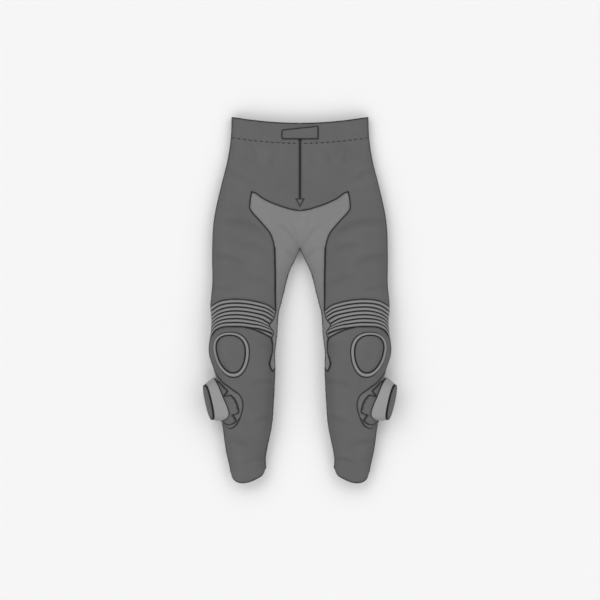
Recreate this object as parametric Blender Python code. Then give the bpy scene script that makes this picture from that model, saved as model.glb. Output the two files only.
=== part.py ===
"""Leather motorcycle trousers, lying on their back with the front up.

X runs across (the wearer's left is +X), Y up to the waist, Z up from the surface.
The origin lies under the middle. Sizes are in millimetres until a mesh is made.

Every piece is cut flat on one pattern, sliced on one grid and laid round one skin.
A point on the pattern has a place across, a height up the garment and a lift over
the cloth's outer face, so pieces that lie on a panel are made from its own points.
"""

import math

import bmesh
import bpy
import numpy as np

# Driving dimensions
MM = 0.001
LENGTH = 1000.0              # waist edge at the side seam to the lowest point of the hem
HALF_LENGTH = LENGTH / 2
LEATHER = 2.0                # wall of the leather panels
STRETCH = 1.6                # wall of the stretch crotch panel
BAND = 2.4                   # waistband, leather folded on itself
SEAM_GAP = 0.3
LIFT = 0.45                  # a piece that lies on a panel clears it by this much
SEAM_LEVEL = 0.42            # height of the side seam as a share of the depth
CROTCH = 141.0               # height of the fork of the legs
KNEE_TOP = -80.0             # the backs are cut finer under this height
SIDES = (("right", -1), ("left", 1))

# The garment's half width, its depth and the reach of its round edge at each height
SECTION_COLUMNS = ("height", "side", "depth", "reach")
SECTIONS = (
    (-560, 190, 42, 40),
    (-466, 190, 44, 40),
    (-414, 201, 50, 44),
    (-348, 210, 60, 48),
    (-274, 221, 67, 52),
    (-198, 232, 70, 56),
    (-143, 248, 71, 58),
    (-88, 243, 69, 58),
    (-61, 241, 66, 58),
    (-17, 244, 62, 58),
    (7, 242, 60, 59),
    (37, 239, 58, 60),
    (119, 239, 55, 64),
    (214, 235, 51, 66),
    (315, 214, 46, 66),
    (378, 198, 42, 62),
    (444, 188, 37, 56),
    (500, 186, 34, 52),
    (560, 185, 32, 50),
)

# Half the gap between the legs at each height
GAP_COLUMNS = ("height", "inseam")
GAP = (
    (-560, 93),
    (-466, 93),
    (-435, 95),
    (-413, 92),
    (-347, 78),
    (-253, 71),
    (-190, 68),
    (-143, 69),
    (-96, 63),
    (-30, 58),
    (-5, 51),
    (32, 42),
    (82, 28),
    (110, 14),
    (CROTCH, 0),
)

# Grid lines across one half, from the inseam or middle (0) to the side seam (1)
ACROSS = (0.0, 0.05, 0.11, 0.19, 0.31, 0.46, 0.62, 0.76, 0.85, 0.915, 0.962, 1.0)
ROW = 25.0                   # spacing of the grid lines up the garment

# Spacing of the points on curves and seams
LINE_STEP = 5.0
PLAIN_STEP = 14.0
HEM_STEP = 10.0
PAD_STEP = 9.0
FINE_STEP = 3.0
CLOSE_POINTS = 0.8           # points of an outline nearer than this become one
NEAR_SIDE = (20, 12, 6, 2, 0)  # distances from the side seam of the points that end a level seam
LEVEL_POINTS = 10            # points of a level seam before those
EXTENT = 560.0               # the outline runs on to this height past the waist and hem
SNAP = 0.004                 # grid points nearer than this to a cut are on it
NEAR_CROSSING = 0.03         # an outline point this near a grid line needs no crossing
HALVINGS = 24                # steps to find a crossing
SHARP_BLEND = 0.2            # least blend of the two sides at a corner that is moved in
SHARP_ANGLE = 40.0           # degrees between faces at which an edge is shaded sharp

# Waist, fly and tab
WAIST_MIDDLE = 483.0         # waist edge at the middle
WAIST_HALF = 186.0           # half the waist along its top edge
WAIST_SEAM_MIDDLE = 428.0    # lower seam of the waistband at the middle
WAIST_SEAM_SIDE = 444.0
WAIST_SEAM_HALF = 188.0
ZIP_HALF = 2.5               # half width of the closed zip's chain
ZIP_SLOT = ZIP_HALF + SEAM_GAP / 2
ZIP_END = 1.0                # the slot runs past each end of the zip by this much
ZIP_TAPE_HALF = 12.0
ZIP_TOP = 442.0
ZIP_BOTTOM = 279.0
ZIP_ROWS = 8
ZIP_TAPE = (-3.8, -2.8)      # lifts of the tape's two faces, under the fronts
ZIP_CHAIN_TOP = -0.3
TAB_HALF = 50.5
TAB_BOTTOM = 439.0
TAB_TOP_RIGHT = 465.0
TAB_TOP_LEFT = 476.0
TAB_THICK = 2.5
TAB_CORNER = 5.0
FLY_PATCH_HALF = 13.0
FLY_PATCH_TOP = 277.0
FLY_PATCH_TIP = 254.0
FLY_PATCH_THICK = 1.4

# Seams as seen from above, across and up, for the wearer's left half
WING_TOP = ((0, 244), (22, 247), (49, 255), (74, 264), (101, 277), (127, 294), (132, 295))
WING_UNDER = ((136, 272), (136, 248), (131, 240), (116, 223), (97, 202), (80, 179), (72, 155), (68, 97),
              (67, 27), (66, -31))
KNEE_STRIP = ((77, -103), (74, -120), (74, -139), (79, -159), (82, -176), (79, -185), (75, -194))
STRIP_END = -183.0           # height where the strip's point meets the inseam
HEM_FRONT = ((93, -461), (100, -477), (122, -491), (150, -500), (172, -498), (185, -488), (190, -468))
HEM_BACK = ((93, -461), (102, -474), (124, -483), (150, -488), (172, -486), (185, -480), (190, -468))

# Bellows
BELLOWS_TOP = ((66, -31), (88, -14), (109, -7), (153, 1), (195, 1), (219, -4), (244, -19))
BELLOWS_FOOT = ((77, -103), (96, -92), (130, -78), (153, -73), (186, -72), (213, -74), (231, -83),
                (244, -102))
BELLOWS_BITE = ((66, -31), (73, -54), (84, -68), (72, -90), (77, -103))
BITE_REACH = 3               # power of the share across: a low one carries the bite further in
SIDE_REACH = 6               # the same for the run of the side seam
BELLOWS_COLUMNS = (0.0, 0.08, 0.17, 0.28, 0.40, 0.52, 0.64, 0.75, 0.83, 0.90, 0.96, 1.0)
BELLOWS_RIBS = 7
RIB_HEIGHT = 3.2
RIB_ROWS = 3                 # grid rows to one rib
RIB_SINK = 0.4               # how far the valleys lie under the leather beside them

# Knee guard: an egg on the front of the knee and the rim round it
RIM_MIDDLE = (185.5, -149.0)
CUP_MIDDLE = (186.5, -147.0)
RIM_SIZE = (47.0, 61.0)
CUP_SIZE = (38.0, 51.5)
EGG_TAPER = 0.2
EGG_LEAN = 5.0
EGG_SIDES = 28
EGG_POWER = 0.9              # under 1 makes an oval squarer
CUP_EDGE = 2.6
CUP_RISE = 9.0
CUP_POWER = 2.2              # how flat the cup's top is
RIM_THICK = 3.2
RIM_LIFT = LIFT + 0.3
# Share of the way across the rim, and height as a share of its thickness
RIM_ROUND = ((0.0, 0.8), (0.25, 1.15), (0.75, 1.1), (1.0, 0.7))

# Slider: loop patch, hook pad, puck and its face
PATCH = ((233, -194), (214, -219), (185, -241), (161, -261), (154, -285), (160, -315), (175, -344),
         (191, -352), (204, -345), (212, -335))
PATCH_UNDER = 24.0           # how far the patch reaches round below the side seam
PATCH_THICK = 1.2
HOOK_UPPER = ((222, -219), (203, -238), (195, -247), (204, -261))
HOOK_MIDDLE = ((187, -257), (176, -269), (168, -289), (166, -308), (180, -314))
HOOK_LOWER = ((170, -329), (181, -338), (197, -341), (212, -331))
HOOK_UNDER = 20.0
HOOK_THICK = 2.0
UNDER_POINTS = 8
UNDER_POWER = 0.35           # under 1 squares the part that reaches round below
PUCK_EDGE = ((229, -213), (223, -221), (214, -242), (206, -263), (193, -296), (190, -308), (190, -315),
             (194, -321), (201, -326), (212, -328))
PUCK_UNDER = 20.0            # how far the puck's base reaches round below the side seam
PUCK_CLEAR = 0.8
PUCK_SIDES = 28
PUCK_BASE = (0.15, 0.35, 0.55, 0.75, 0.9, 1.0)   # sizes of the base's rings
PUCK_WALL = ((0.35, 1.03), (0.72, 1.018))        # share of the way to the face, and swell
FACE_MIDDLE = (251.5, -279.5, 43.5)
FACE_HALF = (28.0, 50.0)
FACE_POWER = 0.8             # under 1 makes its oval squarer
FACE_SAMPLES = 200           # points from which the ones at even spacing are taken
FACE_TILT = 18.0             # degrees that the face looks up
FACE_SWING = 12.5            # degrees that the face looks down the leg
FACE_THICK = 3.0
# Size of each ring of the face, and its height over the front edge
FACE_ROUND = ((0.97, SEAM_GAP - FACE_THICK), (1.0, 1.2 - FACE_THICK), (1.0, -1.0), (0.95, 0.0), (0.6, 0.9))

# Material name, grey and roughness
MATERIALS = (
    ("leather", 0.133, 0.55),
    ("stretch_fabric", 0.216, 0.8),
    ("ribbed_stretch", 0.283, 0.75),
    ("rim_rubber", 0.3, 0.6),
    ("loop_fabric", 0.17, 0.95),
    ("hook_fabric", 0.145, 0.9),
    ("puck_nylon", 0.319, 0.45),
    ("face_nylon", 0.15, 0.4),
    ("zip_chain", 0.04, 0.4),
)


def smooth_value(table, columns, name, heights):
    """One column of a table at the given heights, on a smooth curve through its rows."""
    rows = np.array(table, dtype=float)
    knots = rows[:, 0]
    values = rows[:, columns.index(name)]
    slopes = np.gradient(values, knots)
    heights = np.asarray(heights, dtype=float)
    last = np.clip(np.searchsorted(knots, heights) - 1, 0, len(knots) - 2)
    span = knots[last + 1] - knots[last]
    share = np.clip((heights - knots[last]) / span, 0.0, 1.0)
    square = share ** 2
    cube = share ** 3
    rising = 3 * square - 2 * cube
    return ((1 - rising) * values[last] + rising * values[last + 1]
            + span * ((cube - 2 * square + share) * slopes[last]
                      + (cube - square) * slopes[last + 1]))


def section(name, heights):
    return smooth_value(SECTIONS, SECTION_COLUMNS, name, heights)


def side_at(heights):
    """How far out the side seam is at the given heights."""
    return section("side", heights)


def inseam(heights):
    """Half the gap between the legs, which is nothing above the fork."""
    heights = np.asarray(heights, dtype=float)
    below = smooth_value(GAP, GAP_COLUMNS, "inseam", np.minimum(heights, CROTCH))
    return np.where(heights >= CROTCH, 0.0, np.maximum(below, 0.0))


def outline_points(across, low, high):
    """Points on the side seam or inseam from one height to another."""
    count = max(2, int(abs(high - low) / LINE_STEP) + 1)
    heights = np.linspace(low, high, count)
    return np.column_stack((across(heights), heights))


def line_normals(line):
    """The unit direction away from the garment at each point of the side seam."""
    run = np.gradient(line, axis=0)
    normals = np.column_stack((run[:, 1], -run[:, 0]))
    return normals / np.sqrt((normals ** 2).sum(axis=1))[:, None]


def to_line(points, line):
    """Which stretch of a line is nearest to each point, how far along it, and the way there."""
    start = line[:-1]
    run = line[1:] - start
    offset = points[:, None, :] - start[None, :, :]
    share = np.clip((offset * run).sum(axis=2) / (run ** 2).sum(axis=1), 0.0, 1.0)
    there = start + share[:, :, None] * run - points[:, None, :]
    nearest = (there ** 2).sum(axis=2).argmin(axis=1)
    pick = np.arange(len(points))
    return nearest, share[pick, nearest], there[pick, nearest]


def edges_of(points):
    """Distance inside the side seam and the way out of it, then the same at the inseam."""
    nearest, share, there = to_line(points, SIDE_LINE)
    before = SIDE_NORMALS[nearest] * (1 - share)[:, None]
    after = SIDE_NORMALS[nearest + 1] * share[:, None]
    side_way = before + after
    side = (there * side_way).sum(axis=1)
    there = to_line(points, GAP_LINE)[2]
    gap = np.sqrt((there ** 2).sum(axis=1))
    gap_way = there / np.maximum(gap, 1e-9)[:, None]
    return side, side_way, gap, gap_way


def edge_sizes(heights, side, half):
    """Side seam's height, and the rise and reach of the round edge beside it."""
    depth = section("depth", heights)
    seam = SEAM_LEVEL * depth
    upper = (side >= 0) == (half > 0)
    share = SEAM_LEVEL / (1 - SEAM_LEVEL)
    rise = np.where(upper, depth - seam, seam)
    reach = section("reach", heights) * np.where(upper, 1.0, share)
    return seam, rise, reach


def wrap(flat, half):
    """Pattern points (across, up, lift) laid round the front (half 1) or the back (half -1)."""
    mirror = np.where(flat[:, 0] < 0, -1.0, 1.0)
    plane = np.column_stack((np.abs(flat[:, 0]), flat[:, 1]))
    side, side_way, gap, gap_way = edges_of(plane)
    seam, rise, reach = edge_sizes(plane[:, 1], side, half)
    side_turn = np.clip(side / reach, -1.0, 1.0) * math.pi / 2
    gap_turn = np.clip(gap / reach, 0.0, 1.0) * math.pi / 2
    side_shift = np.where(np.abs(side) < reach, side - reach * (1 - np.cos(side_turn)), 0.0)
    gap_shift = np.where(gap < reach, gap - reach * (1 - np.cos(gap_turn)), 0.0)
    place = plane + side_way * side_shift[:, None] + gap_way * gap_shift[:, None]
    level = seam + half * rise * np.sin(side_turn) * np.sin(gap_turn)
    steep = rise / reach
    outward = (side_way * (steep * np.cos(side_turn) * np.sin(gap_turn) ** 2)[:, None]
               + gap_way * (steep * np.cos(gap_turn) * np.sin(side_turn) ** 2)[:, None])
    upward = half * np.sin(side_turn) * np.sin(gap_turn)
    normal = np.column_stack((outward, upward))
    normal /= np.maximum(np.sqrt((normal ** 2).sum(axis=1)), 1e-9)[:, None]
    result = np.column_stack((place, level)) + normal * flat[:, 2:3]
    result[:, 0] *= mirror
    return result


def unrolled(distance, reach):
    """Length of cloth from a round edge to a place that is seen this far inside it."""
    turn = np.arccos(np.clip(1 - distance / reach, -1, 1))
    return np.where(distance < reach, reach * 2 / math.pi * turn, distance)


def unroll(seen, half=1):
    """Pattern points of places that are given as seen from above."""
    seen = np.array(seen, dtype=float)
    side, side_way, gap, gap_way = edges_of(seen)
    reach = edge_sizes(seen[:, 1], side, half)[2]
    side_move = unrolled(side, reach) - side
    gap_move = unrolled(gap, reach) - gap
    return seen - side_way * side_move[:, None] - gap_way * gap_move[:, None]


def curve_through(points, step=PLAIN_STEP):
    """A smooth open curve through a few points, as points about one step apart."""
    points = np.array(points, dtype=float)
    runs = np.sqrt((np.diff(points, axis=0) ** 2).sum(axis=1))
    along = np.concatenate(((0.0,), np.cumsum(runs)))
    stations = []
    for start, run in zip(along[:-1], runs):
        count = max(1, int(round(run / step)))
        stations.extend(start + run * np.arange(count) / count)
    stations.append(along[-1])
    axes = []
    for axis in range(2):
        table = np.column_stack((along, points[:, axis]))
        axes.append(smooth_value(table, ("along", "value"), "value", stations))
    return np.column_stack(axes)


def grid_lines():
    """Shares across of the grid lines from far beyond one side seam to the other, with numbers."""
    lines = np.array(ACROSS)
    lines = np.concatenate((-lines[:0:-1], lines, 2 - lines[-2::-1]))
    return lines, np.arange(len(lines)) - (len(ACROSS) - 1)


def grid_place(points):
    """Pattern points as places on the grid: line number across, and row."""
    lines, numbers = grid_lines()
    heights = points[:, 1]
    middle = inseam(heights)
    share = (np.abs(points[:, 0]) - middle) / (side_at(heights) - middle)
    sign = np.where(points[:, 0] < 0, -1.0, 1.0)
    return np.column_stack((sign * np.interp(share, lines, numbers), heights / ROW))


def pattern_place(grid):
    """The pattern points of places on the grid."""
    lines, numbers = grid_lines()
    heights = grid[:, 1] * ROW
    middle = inseam(heights)
    share = np.interp(np.abs(grid[:, 0]), numbers, lines)
    sign = np.where(grid[:, 0] < 0, -1.0, 1.0)
    return np.column_stack((sign * (middle + share * (side_at(heights) - middle)), heights))


def shrink(outline, margin):
    """A closed outline moved in by a margin."""
    outline = np.array(outline, dtype=float)
    following = np.roll(outline, -1, axis=0)
    area = (outline[:, 0] * following[:, 1] - following[:, 0] * outline[:, 1]).sum()
    run = following - outline
    run /= np.sqrt((run ** 2).sum(axis=1))[:, None]
    inward = np.column_stack((-run[:, 1], run[:, 0])) * math.copysign(1.0, area)
    before = np.roll(inward, 1, axis=0)
    blend = np.maximum(1 + (inward * before).sum(axis=1), SHARP_BLEND)
    return outline + margin * (inward + before) / blend[:, None]


def drop_close(outline):
    """A closed outline without points that nearly meet the one before."""
    kept = [outline[0]]
    for point in outline[1:]:
        if math.dist(point, kept[-1]) > CLOSE_POINTS:
            kept.append(point)
    if math.dist(kept[0], kept[-1]) <= CLOSE_POINTS:
        kept.pop()
    return np.array(kept)


def crossing(start, end, number, rising):
    """The point between two others where a grid line that runs up the garment is crossed."""
    low = 0.0
    high = 1.0
    for _ in range(HALVINGS):
        share = (low + high) / 2
        value = grid_place(np.array([start + share * (end - start)]))[0, 0]
        if (value < number) == rising:
            low = share
        else:
            high = share
    return start + share * (end - start)


def with_crossings(outline):
    """The outline with a point wherever a side crosses a grid line that runs up the garment."""
    points = []
    numbers = grid_place(outline)[:, 0]
    for index, start in enumerate(outline):
        following = (index + 1) % len(outline)
        first = numbers[index]
        last = numbers[following]
        points.append(start)
        crossed = range(math.ceil(min(first, last)), math.floor(max(first, last)) + 1)
        for number in sorted(crossed, reverse=bool(last < first)):
            if min(abs(number - first), abs(number - last)) > NEAR_CROSSING:
                points.append(crossing(start, outline[following], number, first < last))
    return np.array(points)


def slice_by(bm, faces, point, normal):
    """Cut the given faces along one line."""
    geometry = set(faces)
    for face in faces:
        geometry.update(face.verts)
        geometry.update(face.edges)
    bmesh.ops.bisect_plane(bm, geom=list(geometry), dist=SNAP, plane_co=point, plane_no=normal)


def slice_diagonals(bm, low, high, columns, rows):
    """Cut the blocks of the grid along their diagonals, mirrored on the two halves."""
    for sign in (1, -1):
        corners = []
        for across in (low[0], high[0]):
            for up in (low[1], high[1]):
                corners.append(rows * sign * across + columns * up)
        first = min(corners) - min(corners) % (columns * rows)
        for number in range(first, max(corners) + 1, columns * rows):
            half = [face for face in bm.faces if face.calc_center_median().x * sign > 0]
            if half:
                slice_by(bm, half, (0, number / columns, 0), (sign * rows, columns, 0))


def sliced_sheet(outline, stride):
    """A flat face of the outline, cut along every so many of the grid's columns and rows.

    A third number in the stride is the height under which every row is cut, with no diagonals.
    """
    grid = grid_place(with_crossings(outline))
    bm = bmesh.new()
    bm.faces.new([bm.verts.new((across, up, 0.0)) for across, up in grid])
    low = np.floor(grid.min(axis=0)).astype(int)
    high = np.ceil(grid.max(axis=0)).astype(int)
    columns, rows, *fine_below = stride
    for number in range(low[0], high[0] + 1, columns):
        slice_by(bm, bm.faces[:], (number, 0, 0), (1, 0, 0))
    for number in range(low[1], high[1] + 1):
        if number % rows == 0 or (fine_below and number * ROW < fine_below[0]):
            slice_by(bm, bm.faces[:], (0, number, 0), (0, 1, 0))
    if not fine_below:
        slice_diagonals(bm, low, high, columns, rows)
    bmesh.ops.triangulate(bm, faces=bm.faces[:])
    return bm


def finish_piece(bm, name, material, half=None):
    """Make an object in metres, after laying the bmesh round one half of the skin if that is given."""
    bmesh.ops.recalc_face_normals(bm, faces=bm.faces[:])
    if half:
        if half < 0:
            bmesh.ops.reverse_faces(bm, faces=bm.faces[:])
        points = np.array([vertex.co[:] for vertex in bm.verts])
        for vertex, place in zip(bm.verts, wrap(points, half)):
            vertex.co = place
    bmesh.ops.scale(bm, vec=(MM, MM, MM), verts=bm.verts[:])
    mesh = bpy.data.meshes.new(name)
    bm.to_mesh(mesh)
    bm.free()
    mesh.materials.append(material)
    mesh.shade_smooth()
    mesh.set_sharp_from_angle(angle=math.radians(SHARP_ANGLE))
    piece = bpy.data.objects.new(name, mesh)
    PARTS.objects.link(piece)


def thicken(bm, top_lift):
    """Give a flat sheet a second face whose height at each point is given by a function."""
    made = bmesh.ops.extrude_face_region(bm, geom=bm.faces[:], use_keep_orig=True)
    for element in made["geom"]:
        if isinstance(element, bmesh.types.BMVert):
            element.co.z = top_lift(element.co.x, element.co.y)


def cut_piece(name, outline, lifts, material, half=1, margin=SEAM_GAP / 2, raised=None, stride=(1, 1)):
    """A piece of the given outline between two lifts over the cloth's outer face."""
    low, high = lifts
    outline = drop_close(shrink(drop_close(np.array(outline, dtype=float)), margin))
    bm = sliced_sheet(outline, stride)
    points = pattern_place(np.array([vertex.co[:2] for vertex in bm.verts]))
    for vertex, place in zip(bm.verts, points):
        vertex.co = (place[0], place[1], low)
    thicken(bm, lambda across, up: high + (raised(across, up) if raised else 0.0))
    finish_piece(bm, name, material, half)


def loft(rings, ends="fan"):
    """Quads between rings of points. The ends are fans or flat, or the loft runs round to its start."""
    bm = bmesh.new()
    rows = [[bm.verts.new(point) for point in ring] for ring in rings]
    if ends == "round":
        rows.append(rows[0])
    for low, high in zip(rows[:-1], rows[1:]):
        for index in range(len(low)):
            after = (index + 1) % len(low)
            bm.faces.new((low[index], low[after], high[after], high[index]))
    if ends != "round":
        caps = [bm.faces.new(row) for row in (rows[0], rows[-1])]
        bm.normal_update()
        if ends == "fan":
            bmesh.ops.poke(bm, faces=caps)
    bmesh.ops.triangulate(bm, faces=bm.faces[:])
    return bm


def mirrored(points, sign):
    return np.array(points, dtype=float) * (sign, 1.0)


def make_material(name, grey, roughness):
    material = bpy.data.materials.new(name)
    material.use_nodes = True
    shader = material.node_tree.nodes["Principled BSDF"]
    shader.inputs["Base Color"].default_value = (grey, grey, grey, 1.0)
    shader.inputs["Roughness"].default_value = roughness
    return material


def waist_edge(across):
    """Height of the waist's top edge, which dips to the middle."""
    return WAIST_MIDDLE + (HALF_LENGTH - WAIST_MIDDLE) * (across / WAIST_HALF) ** 2


def waist_seam(across):
    """Height of the waistband's lower seam."""
    return WAIST_SEAM_MIDDLE + (WAIST_SEAM_SIDE - WAIST_SEAM_MIDDLE) * (across / WAIST_SEAM_HALF) ** 2


def level_seam(height_of, width, half=1):
    """The pattern points of a seam across one half, closer together at the side seam."""
    near_side = width - np.array(NEAR_SIDE)
    across = np.concatenate((np.linspace(0, near_side[0], LEVEL_POINTS), near_side[1:]))
    return unroll(np.column_stack((across, height_of(across))), half)


def upright_seam(line, low, high):
    """Points of the side seam or inseam at two heights and on the grid's rows between them."""
    rows = [row * ROW for row in range(math.ceil(low / ROW), math.floor(high / ROW) + 1)]
    heights = np.array(sorted({low, high, *rows}))
    return np.column_stack((line(heights), heights))


def points_along(line, shares):
    """Points on a line at the given shares of its length."""
    runs = np.sqrt((np.diff(line, axis=0) ** 2).sum(axis=1))
    along = np.concatenate(((0.0,), np.cumsum(runs))) / runs.sum()
    return np.column_stack([np.interp(shares, along, line[:, axis]) for axis in range(2)])


def even_ring(outline, count):
    """Points at even spacing round a closed outline."""
    return points_along(np.vstack((outline, outline[:1])), np.linspace(0, 1, count, endpoint=False))


def column_points(seen):
    """A bellows seam on the pattern, with a point at each of its columns."""
    fine = unroll(curve_through(seen, FINE_STEP))
    fine[-1, 0] = side_at(fine[-1, 1])
    return points_along(fine, BELLOWS_COLUMNS)


def bellows_grid():
    """Rows of pattern points from the bellows' top seam to its foot."""
    top = column_points(BELLOWS_TOP)
    foot = column_points(BELLOWS_FOOT)
    along = np.array(BELLOWS_COLUMNS)
    rows = BELLOWS_RIBS * RIB_ROWS
    bite = unroll(curve_through(BELLOWS_BITE, FINE_STEP))
    bite[0] = top[0]
    bite[-1] = foot[0]
    grid = []
    for row in range(rows + 1):
        line = top + (foot - top) * row / rows
        bite_across = np.interp(-line[0, 1], -bite[:, 1], bite[:, 0])
        line[:, 0] += (bite_across - line[0, 0]) * (1 - along) ** BITE_REACH
        line[:, 0] += (side_at(line[-1, 1]) - line[-1, 0]) * along ** SIDE_REACH
        grid.append(line)
    return np.array(grid)


def build_bellows(side_name, sign, material):
    """The ribbed stretch panel over the knee, a plain wall with its outer points raised."""
    cut = np.array(BELLOWS)
    cut[:, 0, 0] += SEAM_GAP / 2
    cut[:, -1, 0] -= SEAM_GAP / 2
    cut[0, :, 1] -= SEAM_GAP / 2
    cut[-1, :, 1] += SEAM_GAP / 2
    cut[:, :, 0] *= sign
    bm = bmesh.new()
    layer = [[bm.verts.new((across, up, -LEATHER)) for across, up in line] for line in cut]
    for low, high in zip(layer[:-1], layer[1:]):
        for index in range(len(BELLOWS_COLUMNS) - 1):
            bm.faces.new((low[index], low[index + 1], high[index + 1], high[index]))
    bmesh.ops.triangulate(bm, faces=bm.faces[:])
    row_of = {}
    for number, line in enumerate(layer):
        for vertex in line:
            row_of[round(vertex.co.x, 3), round(vertex.co.y, 3)] = number

    def rib_lift(across, up):
        in_valley = row_of[round(across, 3), round(up, 3)] % RIB_ROWS == 0
        return (0.0 if in_valley else RIB_HEIGHT) - RIB_SINK

    thicken(bm, rib_lift)
    finish_piece(bm, "bellows_" + side_name, material, 1)


def rounded(half, sides, power):
    """Points of an oval with the given half width and length, squarer as the power falls."""
    turns = np.linspace(0, 2 * math.pi, sides, endpoint=False)
    across = np.sign(np.cos(turns)) * np.abs(np.cos(turns)) ** power
    up = np.sign(np.sin(turns)) * np.abs(np.sin(turns)) ** power
    return np.column_stack((half[0] * across, half[1] * up))


def egg(middle, size):
    """The knee guard's outline on the pattern, broad at the top and leaning."""
    oval = rounded(size, EGG_SIDES, EGG_POWER)
    rise = oval[:, 1] / size[1]
    across = middle[0] + oval[:, 0] * (1 + EGG_TAPER * rise) + EGG_LEAN * rise
    return unroll(np.column_stack((across, middle[1] + oval[:, 1])))


def build_knee_guard(side_name, sign, cup_material, rim_material):
    outer = egg(RIM_MIDDLE, RIM_SIZE)
    inner = egg(CUP_MIDDLE, CUP_SIZE)
    middle = unroll([CUP_MIDDLE])[0]
    spokes = inner - middle
    turns = np.arctan2(spokes[:, 1], spokes[:, 0])
    reaches = np.sqrt((spokes ** 2).sum(axis=1))

    def dome(across, up):
        offset = np.array((abs(across), up)) - middle
        reach = np.interp(math.atan2(offset[1], offset[0]), turns, reaches, period=2 * math.pi)
        share = min(1.0, np.linalg.norm(offset) / reach)
        return CUP_RISE * (1 - share ** CUP_POWER)

    cut_piece("knee_cup_" + side_name, mirrored(inner, sign), (LIFT, LIFT + CUP_EDGE), cup_material,
              margin=SEAM_GAP, raised=dome)
    profile = [(share, RIM_THICK * height) for share, height in RIM_ROUND]
    profile = [(0.0, RIM_LIFT), *profile, (1.0, RIM_LIFT)]
    rings = []
    for near, far in zip(inner, outer):
        rings.append([(*(near + (far - near) * share) * (sign, 1.0), lift) for share, lift in profile])
    finish_piece(loft(rings, "round"), "knee_ring_" + side_name, rim_material, 1)


def pad_outline(upper, under, top, bottom):
    """A slider layer's outline: its seen side, then round below the side seam."""
    heights = np.linspace(bottom, top, UNDER_POINTS)
    bulge = np.sin(np.linspace(0, math.pi, UNDER_POINTS)) ** UNDER_POWER
    lower = np.column_stack((side_at(heights) + under * bulge, heights))
    return np.vstack((upper, lower[1:-1]))


def build_slider(side_name, sign, patch_material, hook_material, puck_material, face_material):
    """The teardrop patch, the notched pad on it and the hard puck on the pad."""
    patch = unroll(curve_through(PATCH))
    patch = pad_outline(patch, PATCH_UNDER, PATCH[0][1], PATCH[-1][1])
    cut_piece("slider_patch_" + side_name, mirrored(patch, sign), (LIFT, LIFT + PATCH_THICK), patch_material)
    parts = [unroll(curve_through(part, PAD_STEP)) for part in (HOOK_UPPER, HOOK_MIDDLE, HOOK_LOWER)]
    hook = pad_outline(np.vstack(parts), HOOK_UNDER, HOOK_UPPER[0][1], HOOK_LOWER[-1][1])
    hook_low = PATCH_THICK + 2 * LIFT
    hook_high = hook_low + HOOK_THICK
    cut_piece("slider_hook_" + side_name, mirrored(hook, sign), (hook_low, hook_high), hook_material)
    build_puck(side_name, sign, hook_high + PUCK_CLEAR, puck_material, face_material)


def puck_base(lift):
    """Rings of the puck's underside, laid round the edge of the calf.

    Like the face's, each ring starts below and runs down the leg, up the seen edge and back.
    """
    upper = unroll(curve_through(PUCK_EDGE, PAD_STEP))
    outline = pad_outline(upper, PUCK_UNDER, PUCK_EDGE[0][1], PUCK_EDGE[-1][1])[::-1]
    base = even_ring(np.roll(outline, -(UNDER_POINTS // 2 - 1), axis=0), PUCK_SIDES)
    middle = base.mean(axis=0)
    rings = []
    for size in PUCK_BASE:
        flat = middle + size * (base - middle)
        rings.append(wrap(np.column_stack((flat, np.full(len(flat), lift))), 1))
    return rings


def face_ring(size, rise):
    """A ring of the slider's face at the given height over its front edge."""
    tilt = math.radians(FACE_TILT)
    swing = math.radians(FACE_SWING)
    outward = np.array((math.cos(tilt) * math.cos(swing), -math.cos(tilt) * math.sin(swing), math.sin(tilt)))
    down_leg = np.array((-math.sin(swing), -math.cos(swing), 0.0))
    front = np.cross(outward, down_leg)
    oval = even_ring(rounded(FACE_HALF, FACE_SAMPLES, FACE_POWER), PUCK_SIDES)
    return np.array(FACE_MIDDLE) + rise * outward + size * (oval[:, :1] * front + oval[:, 1:] * down_leg)


def build_puck(side_name, sign, base_lift, puck_material, face_material):
    """The hard slider: its base lies round the calf's edge, and its face is flat."""
    flip = np.array((sign, 1.0, 1.0))
    rings = puck_base(base_lift)
    edge = rings[-1]
    seat = face_ring(1.0, -FACE_THICK)
    for share, swell in PUCK_WALL:
        ring = edge + (seat - edge) * share
        centre = ring.mean(axis=0)
        rings.append(centre + (ring - centre) * swell)
    rings.append(seat)
    finish_piece(loft([ring * flip for ring in rings]), "slider_puck_" + side_name, puck_material)
    rings = [face_ring(size, rise) * flip for size, rise in FACE_ROUND]
    finish_piece(loft(rings), "slider_face_" + side_name, face_material)


def build_waist(leather):
    top = level_seam(waist_edge, WAIST_HALF)
    foot = level_seam(waist_seam, WAIST_SEAM_HALF)
    side = upright_seam(side_at, WAIST_SEAM_SIDE, HALF_LENGTH)[1:-1]
    middle = [(0, WAIST_MIDDLE), (0, ZIP_TOP + ZIP_END), (ZIP_SLOT, ZIP_TOP + ZIP_END),
              (ZIP_SLOT, WAIST_SEAM_MIDDLE)]
    front = np.vstack((middle, foot[1:], side, top[::-1][:-1]))
    for side_name, sign in SIDES:
        cut_piece("waistband_front_" + side_name, mirrored(front, sign), (-BAND, 0.0), leather)
    top = level_seam(waist_edge, WAIST_HALF, -1)
    foot = level_seam(waist_seam, WAIST_SEAM_HALF, -1)
    half = np.vstack((foot, side, top[::-1]))
    back = np.vstack((half, mirrored(half[::-1], -1)[1:-1]))
    cut_piece("waistband_back", back, (-BAND, 0.0), leather, half=-1, stride=(2, 2))


def knee_strip():
    """The seam between the lower leg and the crotch panel's strip down the knee."""
    strip = unroll(curve_through(KNEE_STRIP))
    strip[0] = BELLOWS[-1, 0]
    return strip


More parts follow.
